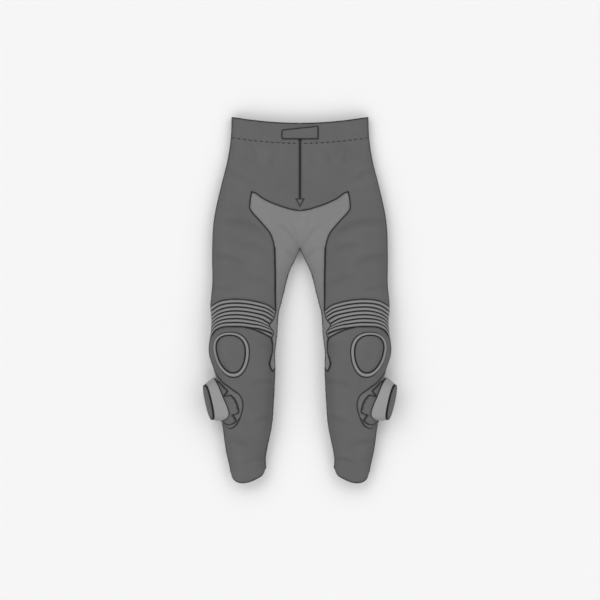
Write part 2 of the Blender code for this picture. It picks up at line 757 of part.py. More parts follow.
def build_fronts(leather, stretch):
    """The two leather fronts, and the stretch panel between and below them."""
    top_of_bellows = BELLOWS[0]
    wing_top = unroll(curve_through(WING_TOP))
    wing_under = unroll(curve_through(WING_UNDER))
    wing_under[-1] = top_of_bellows[0]
    seam_top = level_seam(waist_seam, WAIST_SEAM_HALF)
    side = upright_seam(side_at, top_of_bellows[-1][1], WAIST_SEAM_SIDE)
    middle = [(0, wing_top[0][1]), (0, ZIP_BOTTOM - ZIP_END), (ZIP_SLOT, ZIP_BOTTOM - ZIP_END),
              (ZIP_SLOT, WAIST_SEAM_MIDDLE)]
    front = np.vstack((middle, seam_top[1:], side[::-1][1:-1], top_of_bellows[::-1],
                       wing_under[::-1][1:], wing_top[::-1][:-1]))
    for side_name, sign in SIDES:
        cut_piece("front_" + side_name, mirrored(front, sign), (-LEATHER, 0.0), leather, stride=(1, 2))
    gap = upright_seam(inseam, STRIP_END, CROTCH)
    half = np.vstack((wing_top, wing_under, BELLOWS[1:-1, 0], knee_strip(), gap))
    crotch = np.vstack((half, mirrored(half[::-1], -1)[1:-1]))
    cut_piece("crotch_panel", crotch, (-STRETCH, 0.0), stretch, stride=(1, 2))


def hem_line(seen, half):
    """The hem on the pattern, its ends set on the inseam and the side seam."""
    hem = unroll(curve_through(seen, HEM_STEP), half)
    hem[0, 0] = inseam(hem[0, 1])
    hem[-1, 0] = side_at(hem[-1, 1])
    return hem


def build_lower_legs(leather):
    hem = hem_line(HEM_FRONT, 1)
    gap = upright_seam(inseam, hem[0, 1], STRIP_END)[::-1]
    side = upright_seam(side_at, hem[-1, 1], BELLOWS[-1, -1, 1])
    outline = np.vstack((BELLOWS[-1][::-1], knee_strip()[1:], gap[:-1], hem, side[1:-1]))
    for side_name, sign in SIDES:
        cut_piece("lower_leg_" + side_name, mirrored(outline, sign), (-LEATHER, 0.0), leather)


def build_backs(leather):
    hem = hem_line(HEM_BACK, -1)
    seam_top = level_seam(waist_seam, WAIST_SEAM_HALF, -1)
    gap = upright_seam(inseam, hem[0, 1], CROTCH)[::-1]
    side = upright_seam(side_at, hem[-1, 1], WAIST_SEAM_SIDE)
    outline = np.vstack((seam_top[::-1], gap[:-1], hem, side[1:-1]))
    for side_name, sign in SIDES:
        cut_piece("back_" + side_name, mirrored(outline, sign), (-LEATHER, 0.0), leather, half=-1,
                  stride=(2, 2, KNEE_TOP))


def build_closure(leather, zip_material):
    """The tab across the waistband, the closed zip and the small patch at its foot."""
    tab = [(-TAB_HALF, TAB_BOTTOM + TAB_CORNER), (-TAB_HALF + TAB_CORNER, TAB_BOTTOM), (TAB_HALF, TAB_BOTTOM),
           (TAB_HALF, TAB_TOP_LEFT), (-TAB_HALF + TAB_CORNER, TAB_TOP_RIGHT),
           (-TAB_HALF, TAB_TOP_RIGHT - TAB_CORNER)]
    cut_piece("waist_tab", tab, (LIFT, LIFT + TAB_THICK), leather, margin=0.0)
    triangle = [(-FLY_PATCH_HALF, FLY_PATCH_TOP), (FLY_PATCH_HALF, FLY_PATCH_TOP), (0, FLY_PATCH_TIP)]
    cut_piece("fly_patch", triangle, (LIFT, LIFT + FLY_PATCH_THICK), leather, margin=0.0)
    low, high = ZIP_TAPE
    profile = ((-ZIP_TAPE_HALF, low), (ZIP_TAPE_HALF, low), (ZIP_TAPE_HALF, high), (ZIP_HALF, high),
               (ZIP_HALF, ZIP_CHAIN_TOP), (-ZIP_HALF, ZIP_CHAIN_TOP), (-ZIP_HALF, high),
               (-ZIP_TAPE_HALF, high))
    rings = []
    for height in np.linspace(ZIP_BOTTOM, ZIP_TOP, ZIP_ROWS):
        rings.append([(across, height, lift) for across, lift in profile])
    finish_piece(loft(rings, "flat"), "fly_zip", zip_material, 1)


def clear_scene():
    for item in list(bpy.data.objects):
        bpy.data.objects.remove(item, do_unlink=True)


def build_all():
    made = {name: make_material(name, grey, roughness) for name, grey, roughness in MATERIALS}
    leather = made["leather"]
    build_waist(leather)
    build_fronts(leather, made["stretch_fabric"])
    build_lower_legs(leather)
    build_backs(leather)
    build_closure(leather, made["zip_chain"])
    for side_name, sign in SIDES:
        build_bellows(side_name, sign, made["ribbed_stretch"])
        build_knee_guard(side_name, sign, leather, made["rim_rubber"])
        build_slider(side_name, sign, made["loop_fabric"], made["hook_fabric"], made["puck_nylon"],
                     made["face_nylon"])


SIDE_LINE = outline_points(side_at, -EXTENT, EXTENT)
SIDE_NORMALS = line_normals(SIDE_LINE)
GAP_LINE = outline_points(inseam, -EXTENT, CROTCH)
BELLOWS = bellows_grid()

clear_scene()
PARTS = bpy.data.collections.new("motorcycle_trousers")
bpy.context.scene.collection.children.link(PARTS)
build_all()
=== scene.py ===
# %% [markdown]
# # Leather motorcycle trousers, laid on their back
# The trousers are cut from leather panels, a stretch panel between the legs and a ribbed stretch
# bellows over each knee. Hard parts sit on top: knee cups, and sliders on hook-and-loop pads.
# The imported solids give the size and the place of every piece. This script cuts each piece again,
# finer, with rolled seams, soft creases and real finishes, and hides the plain solid under it.

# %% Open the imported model
import math

import bmesh
import bpy
import numpy as np
from mathutils import Matrix, Vector


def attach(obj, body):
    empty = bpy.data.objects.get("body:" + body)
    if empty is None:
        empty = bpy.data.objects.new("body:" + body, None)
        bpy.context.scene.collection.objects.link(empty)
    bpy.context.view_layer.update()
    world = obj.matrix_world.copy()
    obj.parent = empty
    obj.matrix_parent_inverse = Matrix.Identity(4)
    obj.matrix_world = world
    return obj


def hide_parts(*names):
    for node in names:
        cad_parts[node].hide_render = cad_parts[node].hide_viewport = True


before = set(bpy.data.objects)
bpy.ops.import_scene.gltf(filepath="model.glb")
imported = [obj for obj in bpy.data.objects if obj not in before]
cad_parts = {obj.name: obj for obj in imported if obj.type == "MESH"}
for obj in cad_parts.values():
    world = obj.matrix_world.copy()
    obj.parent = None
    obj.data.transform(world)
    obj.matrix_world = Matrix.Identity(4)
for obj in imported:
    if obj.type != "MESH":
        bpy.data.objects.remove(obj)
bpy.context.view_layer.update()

MM = 0.001
SIDES = (("right", -1), ("left", 1))

# %% [markdown]
# ## The shape of the body of the garment
# A pair of trousers that lies flat is a shallow tube: a front, a back, and a round edge where they
# meet at the side seam and the inseam. Two short tables give the half width, the depth and the
# reach of that round edge at each height. One smooth curve runs through the rows of a table, so
# a few numbers describe the whole outline. The same tables made the solids.

# %% Tables of the outline, in millimetres
SECTION_COLUMNS = ("height", "side", "depth", "reach")
SECTIONS = (
    (-560, 190, 42, 40), (-466, 190, 44, 40), (-414, 201, 50, 44), (-348, 210, 60, 48),
    (-274, 221, 67, 52), (-198, 232, 70, 56), (-143, 248, 71, 58), (-88, 243, 69, 58),
    (-61, 241, 66, 58), (-17, 244, 62, 58), (7, 242, 60, 59), (37, 239, 58, 60),
    (119, 239, 55, 64), (214, 235, 51, 66), (315, 214, 46, 66), (378, 198, 42, 62),
    (444, 188, 37, 56), (500, 186, 34, 52), (560, 185, 32, 50),
)
GAP_COLUMNS = ("height", "inseam")
CROTCH = 141.0
GAP = (
    (-560, 93), (-466, 93), (-435, 95), (-413, 92), (-347, 78), (-253, 71), (-190, 68), (-143, 69),
    (-96, 63), (-30, 58), (-5, 51), (32, 42), (82, 28), (110, 14), (CROTCH, 0),
)
SEAM_LEVEL = 0.42            # height of the side seam as a share of the depth
HALF_LENGTH = 501.0


def smooth_value(table, columns, name, heights):
    """One column of a table at the given heights, on a smooth curve through its rows."""
    rows = np.array(table, dtype=float)
    knots = rows[:, 0]
    values = rows[:, columns.index(name)]
    slopes = np.gradient(values, knots)
    heights = np.asarray(heights, dtype=float)
    last = np.clip(np.searchsorted(knots, heights) - 1, 0, len(knots) - 2)
    span = knots[last + 1] - knots[last]
    share = np.clip((heights - knots[last]) / span, 0.0, 1.0)
    square = share ** 2
    cube = share ** 3
    rising = 3 * square - 2 * cube
    return ((1 - rising) * values[last] + rising * values[last + 1]
            + span * ((cube - 2 * square + share) * slopes[last] + (cube - square) * slopes[last + 1]))


def side_at(heights):
    """How far out the side seam is."""
    return smooth_value(SECTIONS, SECTION_COLUMNS, "side", heights)


def inseam(heights):
    """Half the gap between the legs, which is nothing above the fork."""
    heights = np.asarray(heights, dtype=float)
    below = smooth_value(GAP, GAP_COLUMNS, "inseam", np.minimum(heights, CROTCH))
    return np.where(heights >= CROTCH, 0.0, np.maximum(below, 0.0))


print("half hips", float(side_at(119)), "half knee gap", float(inseam(-96)))

# %% [markdown]
# ## Laying flat cloth round that shape
# Cloth is cut flat, so each piece starts as a flat outline on a pattern: a place across, a height
# and a lift above the cloth's outer face. `wrap` bends pattern points round the front or the back,
# and `unroll` goes the other way, from what the eye sees to the pattern. Because every seam goes
# through the same two functions, neighbouring panels always meet.

# %% From the pattern to the garment and back
def outline_points(across, low, high):
    heights = np.linspace(low, high, int((high - low) / 5.0) + 1)
    return np.column_stack((across(heights), heights))


def unit(ways):
    return ways / np.maximum(np.sqrt((ways ** 2).sum(axis=1)), 1e-9)[:, None]


def left_half(points):
    """Pattern points mirrored to the wearer's left, for which every line is drawn."""
    return np.column_stack((np.abs(points[:, 0]), points[:, 1]))


SIDE_LINE = outline_points(side_at, -560, 560)
GAP_LINE = outline_points(inseam, -560, CROTCH)
SIDE_RUN = np.gradient(SIDE_LINE, axis=0)
SIDE_NORMALS = unit(np.column_stack((SIDE_RUN[:, 1], -SIDE_RUN[:, 0])))

CHUNK = 3000                 # points handled at a time, to save memory


def to_line(points, line):
    """The nearest stretch of a line, how far along it, and the way there."""
    start = line[:-1]
    run = line[1:] - start
    parts = []
    for chunk in np.array_split(points, max(1, len(points) // CHUNK)):
        offset = chunk[:, None, :] - start[None, :, :]
        share = np.clip((offset * run).sum(axis=2) / np.maximum((run ** 2).sum(axis=1), 1e-12), 0.0, 1.0)
        there = start + share[:, :, None] * run - chunk[:, None, :]
        nearest = (there ** 2).sum(axis=2).argmin(axis=1)
        pick = np.arange(len(chunk))
        parts.append((nearest, share[pick, nearest], there[pick, nearest]))
    return [np.concatenate(column) for column in zip(*parts)]


def distance_to(points, line):
    return np.sqrt((to_line(points, np.asarray(line, dtype=float))[2] ** 2).sum(axis=1))


def edges_of(points):
    """Distance inside the side seam and the way out of it, then the same at the inseam."""
    nearest, share, there = to_line(points, SIDE_LINE)
    side_way = SIDE_NORMALS[nearest] * (1 - share)[:, None] + SIDE_NORMALS[nearest + 1] * share[:, None]
    side = (there * side_way).sum(axis=1)
    there = to_line(points, GAP_LINE)[2]
    gap = np.sqrt((there ** 2).sum(axis=1))
    return side, side_way, gap, there / np.maximum(gap, 1e-9)[:, None]


def edge_sizes(heights, side, half):
    """Side seam's height, and the rise and reach of the round edge beside it."""
    depth = smooth_value(SECTIONS, SECTION_COLUMNS, "depth", heights)
    reach = smooth_value(SECTIONS, SECTION_COLUMNS, "reach", heights)
    seam = SEAM_LEVEL * depth
    upper = (side >= 0) == (half > 0)
    rise = np.where(upper, depth - seam, seam)
    return seam, rise, reach * np.where(upper, 1.0, SEAM_LEVEL / (1 - SEAM_LEVEL))


def wrap(flat, half):
    """Pattern points (across, up, lift) laid round the front (half 1) or the back (half -1)."""
    flat = np.asarray(flat, dtype=float)
    mirror = np.where(flat[:, 0] < 0, -1.0, 1.0)
    plane = left_half(flat)
    side, side_way, gap, gap_way = edges_of(plane)
    seam, rise, reach = edge_sizes(plane[:, 1], side, half)
    side_turn = np.clip(side / reach, -1.0, 1.0) * math.pi / 2
    gap_turn = np.clip(gap / reach, 0.0, 1.0) * math.pi / 2
    side_shift = np.where(np.abs(side) < reach, side - reach * (1 - np.cos(side_turn)), 0.0)
    gap_shift = np.where(gap < reach, gap - reach * (1 - np.cos(gap_turn)), 0.0)
    place = plane + side_way * side_shift[:, None] + gap_way * gap_shift[:, None]
    level = seam + half * rise * np.sin(side_turn) * np.sin(gap_turn)
    steep = rise / reach
    outward = (side_way * (steep * np.cos(side_turn) * np.sin(gap_turn) ** 2)[:, None]
               + gap_way * (steep * np.cos(gap_turn) * np.sin(side_turn) ** 2)[:, None])
    upward = half * np.sin(side_turn) * np.sin(gap_turn)
    normal = unit(np.column_stack((outward, upward)))
    result = np.column_stack((place, level)) + normal * flat[:, 2:3]
    result[:, 0] *= mirror
    return result


def unrolled(distance, reach):
    """Length of cloth from a round edge to a place that is seen this far inside it."""
    turn = np.arccos(np.clip(1 - distance / reach, -1, 1))
    return np.where(distance < reach, reach * 2 / math.pi * turn, distance)


def unroll(seen, half=1):
    """Pattern points of places that are given as seen from above."""
    seen = np.array(seen, dtype=float)
    side, side_way, gap, gap_way = edges_of(seen)
    reach = edge_sizes(seen[:, 1], side, half)[2]
    return (seen - side_way * (unrolled(side, reach) - side)[:, None]
            - gap_way * (unrolled(gap, reach) - gap)[:, None])


sample = wrap([(150.0, -20.0, 0.0)], 1)[0]
print("front of the thigh is", round(sample[2], 1), "mm above the floor")

# %% [markdown]
# ## Seam lines
# Each seam is drawn through a few points as seen from above, for the wearer's left half. The
# other half is its mirror image. A seam that two panels share is made once and used twice.

# %% Smooth lines through a few points
STEP = 4.0                   # spacing of the points along a seam


def curve_through(points):
    points = np.array(points, dtype=float)
    runs = np.sqrt((np.diff(points, axis=0) ** 2).sum(axis=1))
    along = np.concatenate(((0.0,), np.cumsum(runs)))
    stations = np.linspace(0, along[-1], max(2, int(along[-1] / STEP) + 1))
    stations = np.unique(np.concatenate((stations, along)))
    axes = []
    for axis in range(2):
        table = np.column_stack((along, points[:, axis]))
        axes.append(smooth_value(table, ("along", "value"), "value", stations))
    return np.column_stack(axes)


def seam(points, half=1):
    return unroll(curve_through(points), half)


def mirrored(points, sign):
    return np.array(points, dtype=float) * (sign, 1.0)


def upright_seam(line, low, high):
    """Points of the side seam or inseam between two heights."""
    heights = np.linspace(low, high, max(2, int((high - low) / STEP) + 1))
    return np.column_stack((line(heights), heights))


# %% The seams themselves
WAIST_MIDDLE = 484.2         # waist edge at the middle
WAIST_HALF = 186.0
WAIST_SEAM_MIDDLE = 428.0    # lower seam of the waistband at the middle
WAIST_SEAM_SIDE = 444.0
WAIST_SEAM_HALF = 188.0
ZIP_SLOT = 2.65              # half the slot in which the zip shows
ZIP_TOP = 443.0
ZIP_BOTTOM = 278.0
STRIP_END = -183.0           # where the stretch panel's strip meets the inseam
WING_TOP = ((0, 244), (22, 247), (49, 255), (74, 264), (101, 277), (127, 294), (132, 295))
WING_UNDER = ((136, 272), (136, 248), (131, 240), (116, 223), (97, 202), (80, 179), (72, 155), (68, 97),
              (67, 27), (66, -31))
STRIP = ((77, -103), (74, -120), (74, -139), (79, -159), (82, -176), (79, -185), (75, -194))
HEM_FRONT = ((93, -461), (100, -477), (122, -491), (150, -500), (172, -498), (185, -488), (190, -468))
HEM_BACK = ((93, -461), (102, -474), (124, -483), (150, -488), (172, -486), (185, -480), (190, -468))
BELLOWS_TOP = ((66, -31), (88, -14), (109, -7), (153, 1), (195, 1), (219, -4), (244, -19))
BELLOWS_FOOT = ((77, -103), (96, -92), (130, -78), (153, -73), (186, -72), (213, -74), (231, -83),
                (244, -102))
BELLOWS_BITE = ((66, -31), (73, -54), (84, -68), (72, -90), (77, -103))


def waist_edge(across):
    return WAIST_MIDDLE + (HALF_LENGTH - WAIST_MIDDLE) * (across / WAIST_HALF) ** 2


def waist_seam(across):
    return WAIST_SEAM_MIDDLE + (WAIST_SEAM_SIDE - WAIST_SEAM_MIDDLE) * (across / WAIST_SEAM_HALF) ** 2


def level_seam(height_of, width, half=1):
    across = np.linspace(0, width, int(width / STEP))
    return unroll(np.column_stack((across, height_of(across))), half)


wing_top = seam(WING_TOP)
wing_under = seam(WING_UNDER)
strip = seam(STRIP)
band_top = {half: level_seam(waist_edge, WAIST_HALF, half) for half in (1, -1)}
band_seam = {half: level_seam(waist_seam, WAIST_SEAM_HALF, half) for half in (1, -1)}
hem = {1: seam(HEM_FRONT), -1: seam(HEM_BACK, -1)}
for line in hem.values():
    line[0, 0] = inseam(line[0, 1])
    line[-1, 0] = side_at(line[-1, 1])
print("wing seam", len(wing_top) + len(wing_under), "points; hem", len(hem[1]))

# %% [markdown]
# ## The grid of the bellows
# The ribbed panel is a grid from its top seam to its foot. Across, the lines follow the two
# seams by share of their length. At the inner end they bend into the bite that the stretch panel
# takes out of it, and at the outer end they keep to the side seam.

# %% Bellows grid
def even_points(line, shares):
    runs = np.sqrt((np.diff(line, axis=0) ** 2).sum(axis=1))
    along = np.concatenate(((0.0,), np.cumsum(runs))) / runs.sum()
    return np.column_stack([np.interp(shares, along, line[:, axis]) for axis in range(2)])


COLUMNS = 46
BITE_POWER = 3               # a low power carries the bite further into the panel
SIDE_POWER = 6               # the same for the run of the side seam
shares = np.linspace(0, 1, COLUMNS + 1)
bellows_top = even_points(seam(BELLOWS_TOP), shares)
bellows_foot = even_points(seam(BELLOWS_FOOT), shares)
bellows_top[-1, 0] = side_at(bellows_top[-1, 1])
bellows_foot[-1, 0] = side_at(bellows_foot[-1, 1])
bite = seam(BELLOWS_BITE)
bite[0] = bellows_top[0]
bite[-1] = bellows_foot[0]


def bellows_line(down, foot=bellows_foot):
    """One line across the bellows, a share of the way from its top seam to its foot."""
    line = bellows_top + (foot - bellows_top) * down
    bite_across = np.interp(-line[0, 1], -bite[:, 1], bite[:, 0])
    line[:, 0] += (bite_across - line[0, 0]) * (1 - shares) ** BITE_POWER
    line[:, 0] += (side_at(line[-1, 1]) - line[-1, 0]) * shares ** SIDE_POWER
    return line


wing_under[-1] = bellows_top[0]
strip[0] = bellows_foot[0]
bite_side = np.array([bellows_line(down)[0] for down in np.linspace(0, 1, 19)])
print("bellows", round(float(np.ptp(bellows_top[:, 0]))), "mm across")

# %% [markdown]
# ## Creases
# Leather this thick doesn't fold sharply. It bends in a few soft troughs, each with a low ridge on
# both sides. They are placed where such trousers bend: out of the fork, across the thigh
# and the shin, under the band, behind the knee and under the seat. Each row of the table is
# one crease on the pattern. The back rests on the floor, so its creases only go inwards.

# %% Table of creases and what they do to the surface
CREASE_COLUMNS = ("half", "from_across", "from_up", "to_across", "to_up", "bow", "width", "depth")
CREASES = (
    (1, 8, 150, 62, 214, 6, 9, 1.5),
    (1, 4, 168, 30, 232, -3, 8, 0.9),
    (1, 22, 112, 60, 150, 4, 8, 1.2),
    (1, 38, 60, 64, 84, 2, 7, 0.8),
    (1, 88, 176, 212, 214, 12, 15, 1.9),
    (1, 84, 128, 170, 150, 8, 13, 1.3),
    (1, 226, 120, 150, 92, -9, 14, 1.5),
    (1, 80, 40, 150, 62, 6, 12, 1.1),
    (1, 228, 34, 170, 22, -4, 11, 1.0),
    (1, 60, 418, 84, 350, 5, 11, 1.0),
    (1, 132, 426, 122, 372, -4, 9, 0.8),
    (1, 196, 352, 140, 318, -7, 13, 1.2),
    (1, 24, 410, 32, 368, 2, 8, 0.6),
    (1, 82, -222, 142, -236, 5, 11, 1.3),
    (1, 78, -318, 132, -338, 6, 12, 1.2),
    (1, 196, -382, 138, -398, -5, 12, 1.4),
    (1, 100, -432, 158, -446, 4, 10, 1.2),
    (1, 184, -428, 160, -440, 2, 8, 0.8),
    (1, 86, -128, 122, -120, 3, 9, 0.9),
    (-1, 70, -66, 222, -58, 8, 11, 1.8),
    (-1, 84, -96, 214, -104, -6, 10, 2.2),
    (-1, 82, -132, 200, -126, 5, 10, 1.7),
    (-1, 104, -30, 206, -38, -3, 9, 1.1),
    (-1, 20, 150, 180, 122, -16, 14, 1.8),
    (-1, 60, 92, 210, 84, 9, 12, 1.2),
    (-1, 30, 400, 46, 330, 5, 10, 0.9),
    (-1, 150, 404, 132, 340, -5, 11, 1.0),
    (-1, 100, -410, 180, -424, 5, 11, 1.2),
    (-1, 90, -250, 170, -262, 4, 12, 0.9),
)


def crease_lines(half):
    rows = []
    for row in CREASES:
        item = dict(zip(CREASE_COLUMNS, row))
        if item["half"] != half:
            continue
        start = np.array((item["from_across"], item["from_up"]), dtype=float)
        end = np.array((item["to_across"], item["to_up"]), dtype=float)
        run = (end - start) / np.linalg.norm(end - start)
        aside = np.array((-run[1], run[0])) * item["bow"]
        share = np.linspace(0, 1, 9)
        line = start + (end - start) * share[:, None] + aside * np.sin(math.pi * share)[:, None]
        rows.append((line, item["width"], item["depth"]))
    return rows


CREASE_LINES = {half: crease_lines(half) for half in (1, -1)}

WAVE = 0.35                  # slow waves that keep any panel from being quite smooth
RIDGE_SHARE = 1.1            # how strongly the cloth rises beside a trough


def crease_lift(points, half):
    """How far creases move each pattern point, up where it is more than nothing."""
    across, up = np.asarray(points, dtype=float).T[:2]
    plane = left_half(points)
    lift = WAVE * np.sin(across / 31 + up / 57) * np.sin(up / 43 - across / 71)
    for line, width, depth in CREASE_LINES[half]:
        low = line.min(axis=0) - 3 * width
        high = line.max(axis=0) + 3 * width
        near = np.nonzero(((plane > low) & (plane < high)).all(axis=1))[0]
        if len(near) == 0:
            continue
        stretch, share, there = to_line(plane[near], line)
        along = (stretch + share) / (len(line) - 1)
        away = (there ** 2).sum(axis=1) / width ** 2
        # the two halves of the body never crease quite alike
        uneven = np.where(across[near] < 0, 0.8, 1.0) + 0.15 * np.sin(9 * along + line[0, 0])
        trough = (1 - RIDGE_SHARE * away) * np.exp(-away) * np.sin(math.pi * along) ** 0.7
        lift[near] -= uneven * depth * trough
    # the back's outer face stays a hair over the floor
    return lift if half > 0 else np.minimum(lift, 0.0) - 0.02


print("creases", {half: len(rows) for half, rows in CREASE_LINES.items()})

# %% [markdown]
# ## Finishes
# The leather is a matt grey cowhide. Its colour varies in slow clouds, its grain is small pebbled
# cells with fine creases between, and it is paler on a ridge, as wear and as painted light, and darker
# in a trough, as painted shade. At a seam the cut edge is dyed black and turned down, and painted
# shade darkens it further, which gives the dark lines of such trousers. The pattern's
# own map (`cut`) carries the textures, so grain and weave stay on the cloth as it bends.
# Two attributes of the mesh steer the finish: `seam` is 1 in a seam and 0 off it (dye and painted
# shade), and `ridge` is 0.5 on plain cloth, more on a ridge and less in a trough.

# %% Helpers for the node trees
def node(tree, kind, inputs=None, **settings):
    made = tree.nodes.new("ShaderNode" + kind)
    for name, value in settings.items():
        setattr(made, name, value)
    for name, value in (inputs or {}).items():
        if isinstance(value, bpy.types.NodeSocket):
            tree.links.new(value, made.inputs[name])
        else:
            made.inputs[name].default_value = value
    return made


def math_node(tree, operation, first, second, third=0.0):
    return node(tree, "Math", {0: first, 1: second, 2: third}, operation=operation).outputs[0]


def new_finish(name, **fixed):
    finish = bpy.data.materials.new(name)
    finish.use_nodes = True
    tree = finish.node_tree
    shader = tree.nodes["Principled BSDF"]
    for socket, value in fixed.items():
        shader.inputs[socket.replace("_", " ")].default_value = value
    return finish, tree, shader


def cut_map(tree):
    return node(tree, "UVMap", uv_map="cut").outputs["UV"]


def object_place(tree):
    return node(tree, "TexCoord").outputs["Object"]


def noise(tree, vector, scale, detail=2.0):
    return node(tree, "TexNoise", {"Vector": vector, "Scale": scale, "Detail": detail}).outputs["Fac"]


def around(tree, steer, middle, spread):
    """A value that a texture from 0 to 1 moves down or up from its middle."""
    return math_node(tree, "MULTIPLY_ADD", steer, 2 * spread, middle - spread)


def varied(tree, value, steer, spread):
    """A grey made darker or lighter by up to a share of itself."""
    return math_node(tree, "MULTIPLY", around(tree, steer, 1.0, spread), value)


def clouded(tree, vector, value, spread, scales):
    """A grey that varies in clouds of several sizes."""
    for scale in scales:
        value = varied(tree, value, noise(tree, vector, scale, 3.0), spread)
    return value


def attribute(tree, name):
    return node(tree, "Attribute", attribute_name=name).outputs["Fac"]


def bump(tree, height, strength, distance, below=None):
    inputs = {"Height": height, "Strength": strength, "Distance": distance}
    if below is not None:
        inputs["Normal"] = below
    return node(tree, "Bump", inputs).outputs["Normal"]


SEAM_DYE_AND_SHADE_GREY = 0.010            # dyed edge and painted shade in the bottom of a seam


def seam_dye_and_shade(tree, value):
    """Blend a grey towards the dyed edge and its painted shade where the seam attribute says so."""
    dye_and_shade_here = attribute(tree, "seam")
    keep = math_node(tree, "SUBTRACT", 1.0, dye_and_shade_here)
    lit = math_node(tree, "MULTIPLY", value, keep)
    return math_node(tree, "MULTIPLY_ADD", dye_and_shade_here, SEAM_DYE_AND_SHADE_GREY, lit)


def dress(tree, shader, grey, rough, normal):
    """Join the three results of a finish to its shader."""
    for socket, result in (("Base Color", seam_dye_and_shade(tree, grey)), ("Roughness", rough), ("Normal", normal)):
        tree.links.new(result, shader.inputs[socket])


# %% Leather
def leather_finish(name, grey, grain_scale, grain_depth, roughness, wear_and_crease_shade=0.18):
    finish, tree, shader = new_finish(name, Specular_IOR_Level=0.28)
    cut = cut_map(tree)
    value = clouded(tree, cut, grey, 0.07, (7.0, 34.0))
    # paler on a ridge as wear and painted light, darker in a crease's trough as painted shade
    value = varied(tree, value, attribute(tree, "ridge"), wear_and_crease_shade)
    cells = node(tree, "TexVoronoi", {"Vector": cut, "Scale": grain_scale}, feature="DISTANCE_TO_EDGE")
    pebbles = node(tree, "MapRange", {"Value": cells.outputs["Distance"], "From Max": 0.25}).outputs[0]
    grain = bump(tree, pebbles, 0.5, grain_depth)
    dress(tree, shader, value, around(tree, noise(tree, cut, 90.0), roughness, 0.11),
          bump(tree, noise(tree, cut, 140.0, 4.0), 0.35, 0.0012, grain))
    return finish


leather = leather_finish("cowhide", 0.114, 720.0, 0.00022, 0.56)
moulded_leather = leather_finish("moulded_knee_leather", 0.112, 1100.0, 0.00010, 0.46)
print("finishes", leather.name, moulded_leather.name)

# %% [markdown]
# The panel between the legs is a woven stretch fabric. It is a shade lighter than the leather, matt,
# with a fine diagonal twill. The bellows' cloth is knitted, with its own rows running down each
# rib. Both are soft, so a little sheen catches light at a grazing angle.

# %% Stretch fabrics
def woven_finish(name, grey, thread_scale, slant, depth, sheen=0.25):
    finish, tree, shader = new_finish(name, Specular_IOR_Level=0.2, Sheen_Weight=sheen,
                                      Sheen_Roughness=0.5)
    cut = cut_map(tree)
    turn = (0.0, 0.0, math.radians(slant))
    turned = node(tree, "Mapping", {"Vector": cut, "Rotation": turn}).outputs[0]
    ribs = node(tree, "TexWave", {"Vector": turned, "Scale": thread_scale, "Distortion": 0.6, "Detail": 1.0})
    cross = node(tree, "TexWave", {"Vector": turned, "Scale": thread_scale * 0.8, "Distortion": 0.3},
                 bands_direction="Y")
    threads = math_node(tree, "MULTIPLY_ADD", ribs.outputs["Fac"], 0.7,
                        math_node(tree, "MULTIPLY", cross.outputs["Fac"], 0.3))
    value = varied(tree, clouded(tree, cut, grey, 0.05, (9.0, 60.0)), threads, 0.12)
    # paler on a ridge as wear and painted light, darker in a crease's trough as painted shade
    value = varied(tree, value, attribute(tree, "ridge"), 0.15)
    rough = math_node(tree, "MULTIPLY_ADD", threads, -0.15, 0.9)
    dress(tree, shader, value, rough, bump(tree, threads, 0.6, depth))
    return finish


stretch_fabric = woven_finish("stretch_twill", 0.214, 260.0, 38.0, 0.0003)
ribbed_fabric = woven_finish("knitted_ribs", 0.236, 190.0, 90.0, 0.0004, 0.35)

# %% [markdown]
# Round the knee cup runs a pale moulded rim. The slider sits on a patch of loop pile, with a stiff
# notched pad over it. The slider itself is hard nylon: its wall is pale and slightly rough from the
# mould, and its outer disc is dark and scratched in one direction by the road.

# %% Rim, pile, pad and nylon
def plain_finish(name, grey, roughness, clouds, depth, texture_scale, place=cut_map, **fixed):
    finish, tree, shader = new_finish(name, **fixed)
    vector = place(tree)
    dress(tree, shader, clouded(tree, vector, grey, clouds, (14.0, 120.0)),
          around(tree, noise(tree, vector, 160.0), roughness, 0.1),
          bump(tree, noise(tree, vector, texture_scale, 4.0), 0.6, depth))
    return finish


def scratched_finish(name, grey, roughness, scratch_turn):
    """Nylon with long scratches that all run one way."""
    finish, tree, shader = new_finish(name, Specular_IOR_Level=0.12)
    place = object_place(tree)
    turned = node(tree, "Mapping", {"Vector": place, "Rotation": scratch_turn, "Scale": (1.0, 0.06, 1.0)})
    scratches = noise(tree, turned.outputs[0], 900.0, 5.0)
    marks = node(tree, "MapRange", {"Value": scratches, "From Min": 0.58, "From Max": 0.72}).outputs[0]
    value = clouded(tree, place, grey, 0.08, (22.0, 180.0))
    value = math_node(tree, "MULTIPLY", value, math_node(tree, "MULTIPLY_ADD", marks, 0.45, 1.0))
    dress(tree, shader, value, math_node(tree, "MULTIPLY_ADD", marks, 0.25, roughness),
          bump(tree, scratches, 0.35, 0.0004))
    return finish


rim_rubber = plain_finish("knee_rim_rubber", 0.238, 0.52, 0.05, 0.0002, 900.0)
loop_pile = plain_finish("loop_pile", 0.132, 0.9, 0.10, 0.0012, 1100.0, Sheen_Weight=0.3)
pad_cloth = plain_finish("pad_backing", 0.115, 0.8, 0.07, 0.0006, 700.0)
puck_nylon = plain_finish("puck_nylon", 0.292, 0.48, 0.04, 0.0003, 420.0, object_place,
                          Specular_IOR_Level=0.4)
disc_nylon = scratched_finish("disc_nylon", 0.088, 0.42, (0.0, 0.0, math.radians(14)))
zip_plastic = plain_finish("zip_teeth", 0.018, 0.4, 0.10, 0.0001, 600.0, object_place)
zip_tape = plain_finish("zip_tape", 0.014, 0.85, 0.10, 0.0004, 1500.0)
thread_black = plain_finish("black_thread", 0.010, 0.6, 0.15, 0.0002, 2400.0, object_place)
thread_grey = plain_finish("grey_thread", 0.075, 0.65, 0.12, 0.0002, 2400.0, object_place)
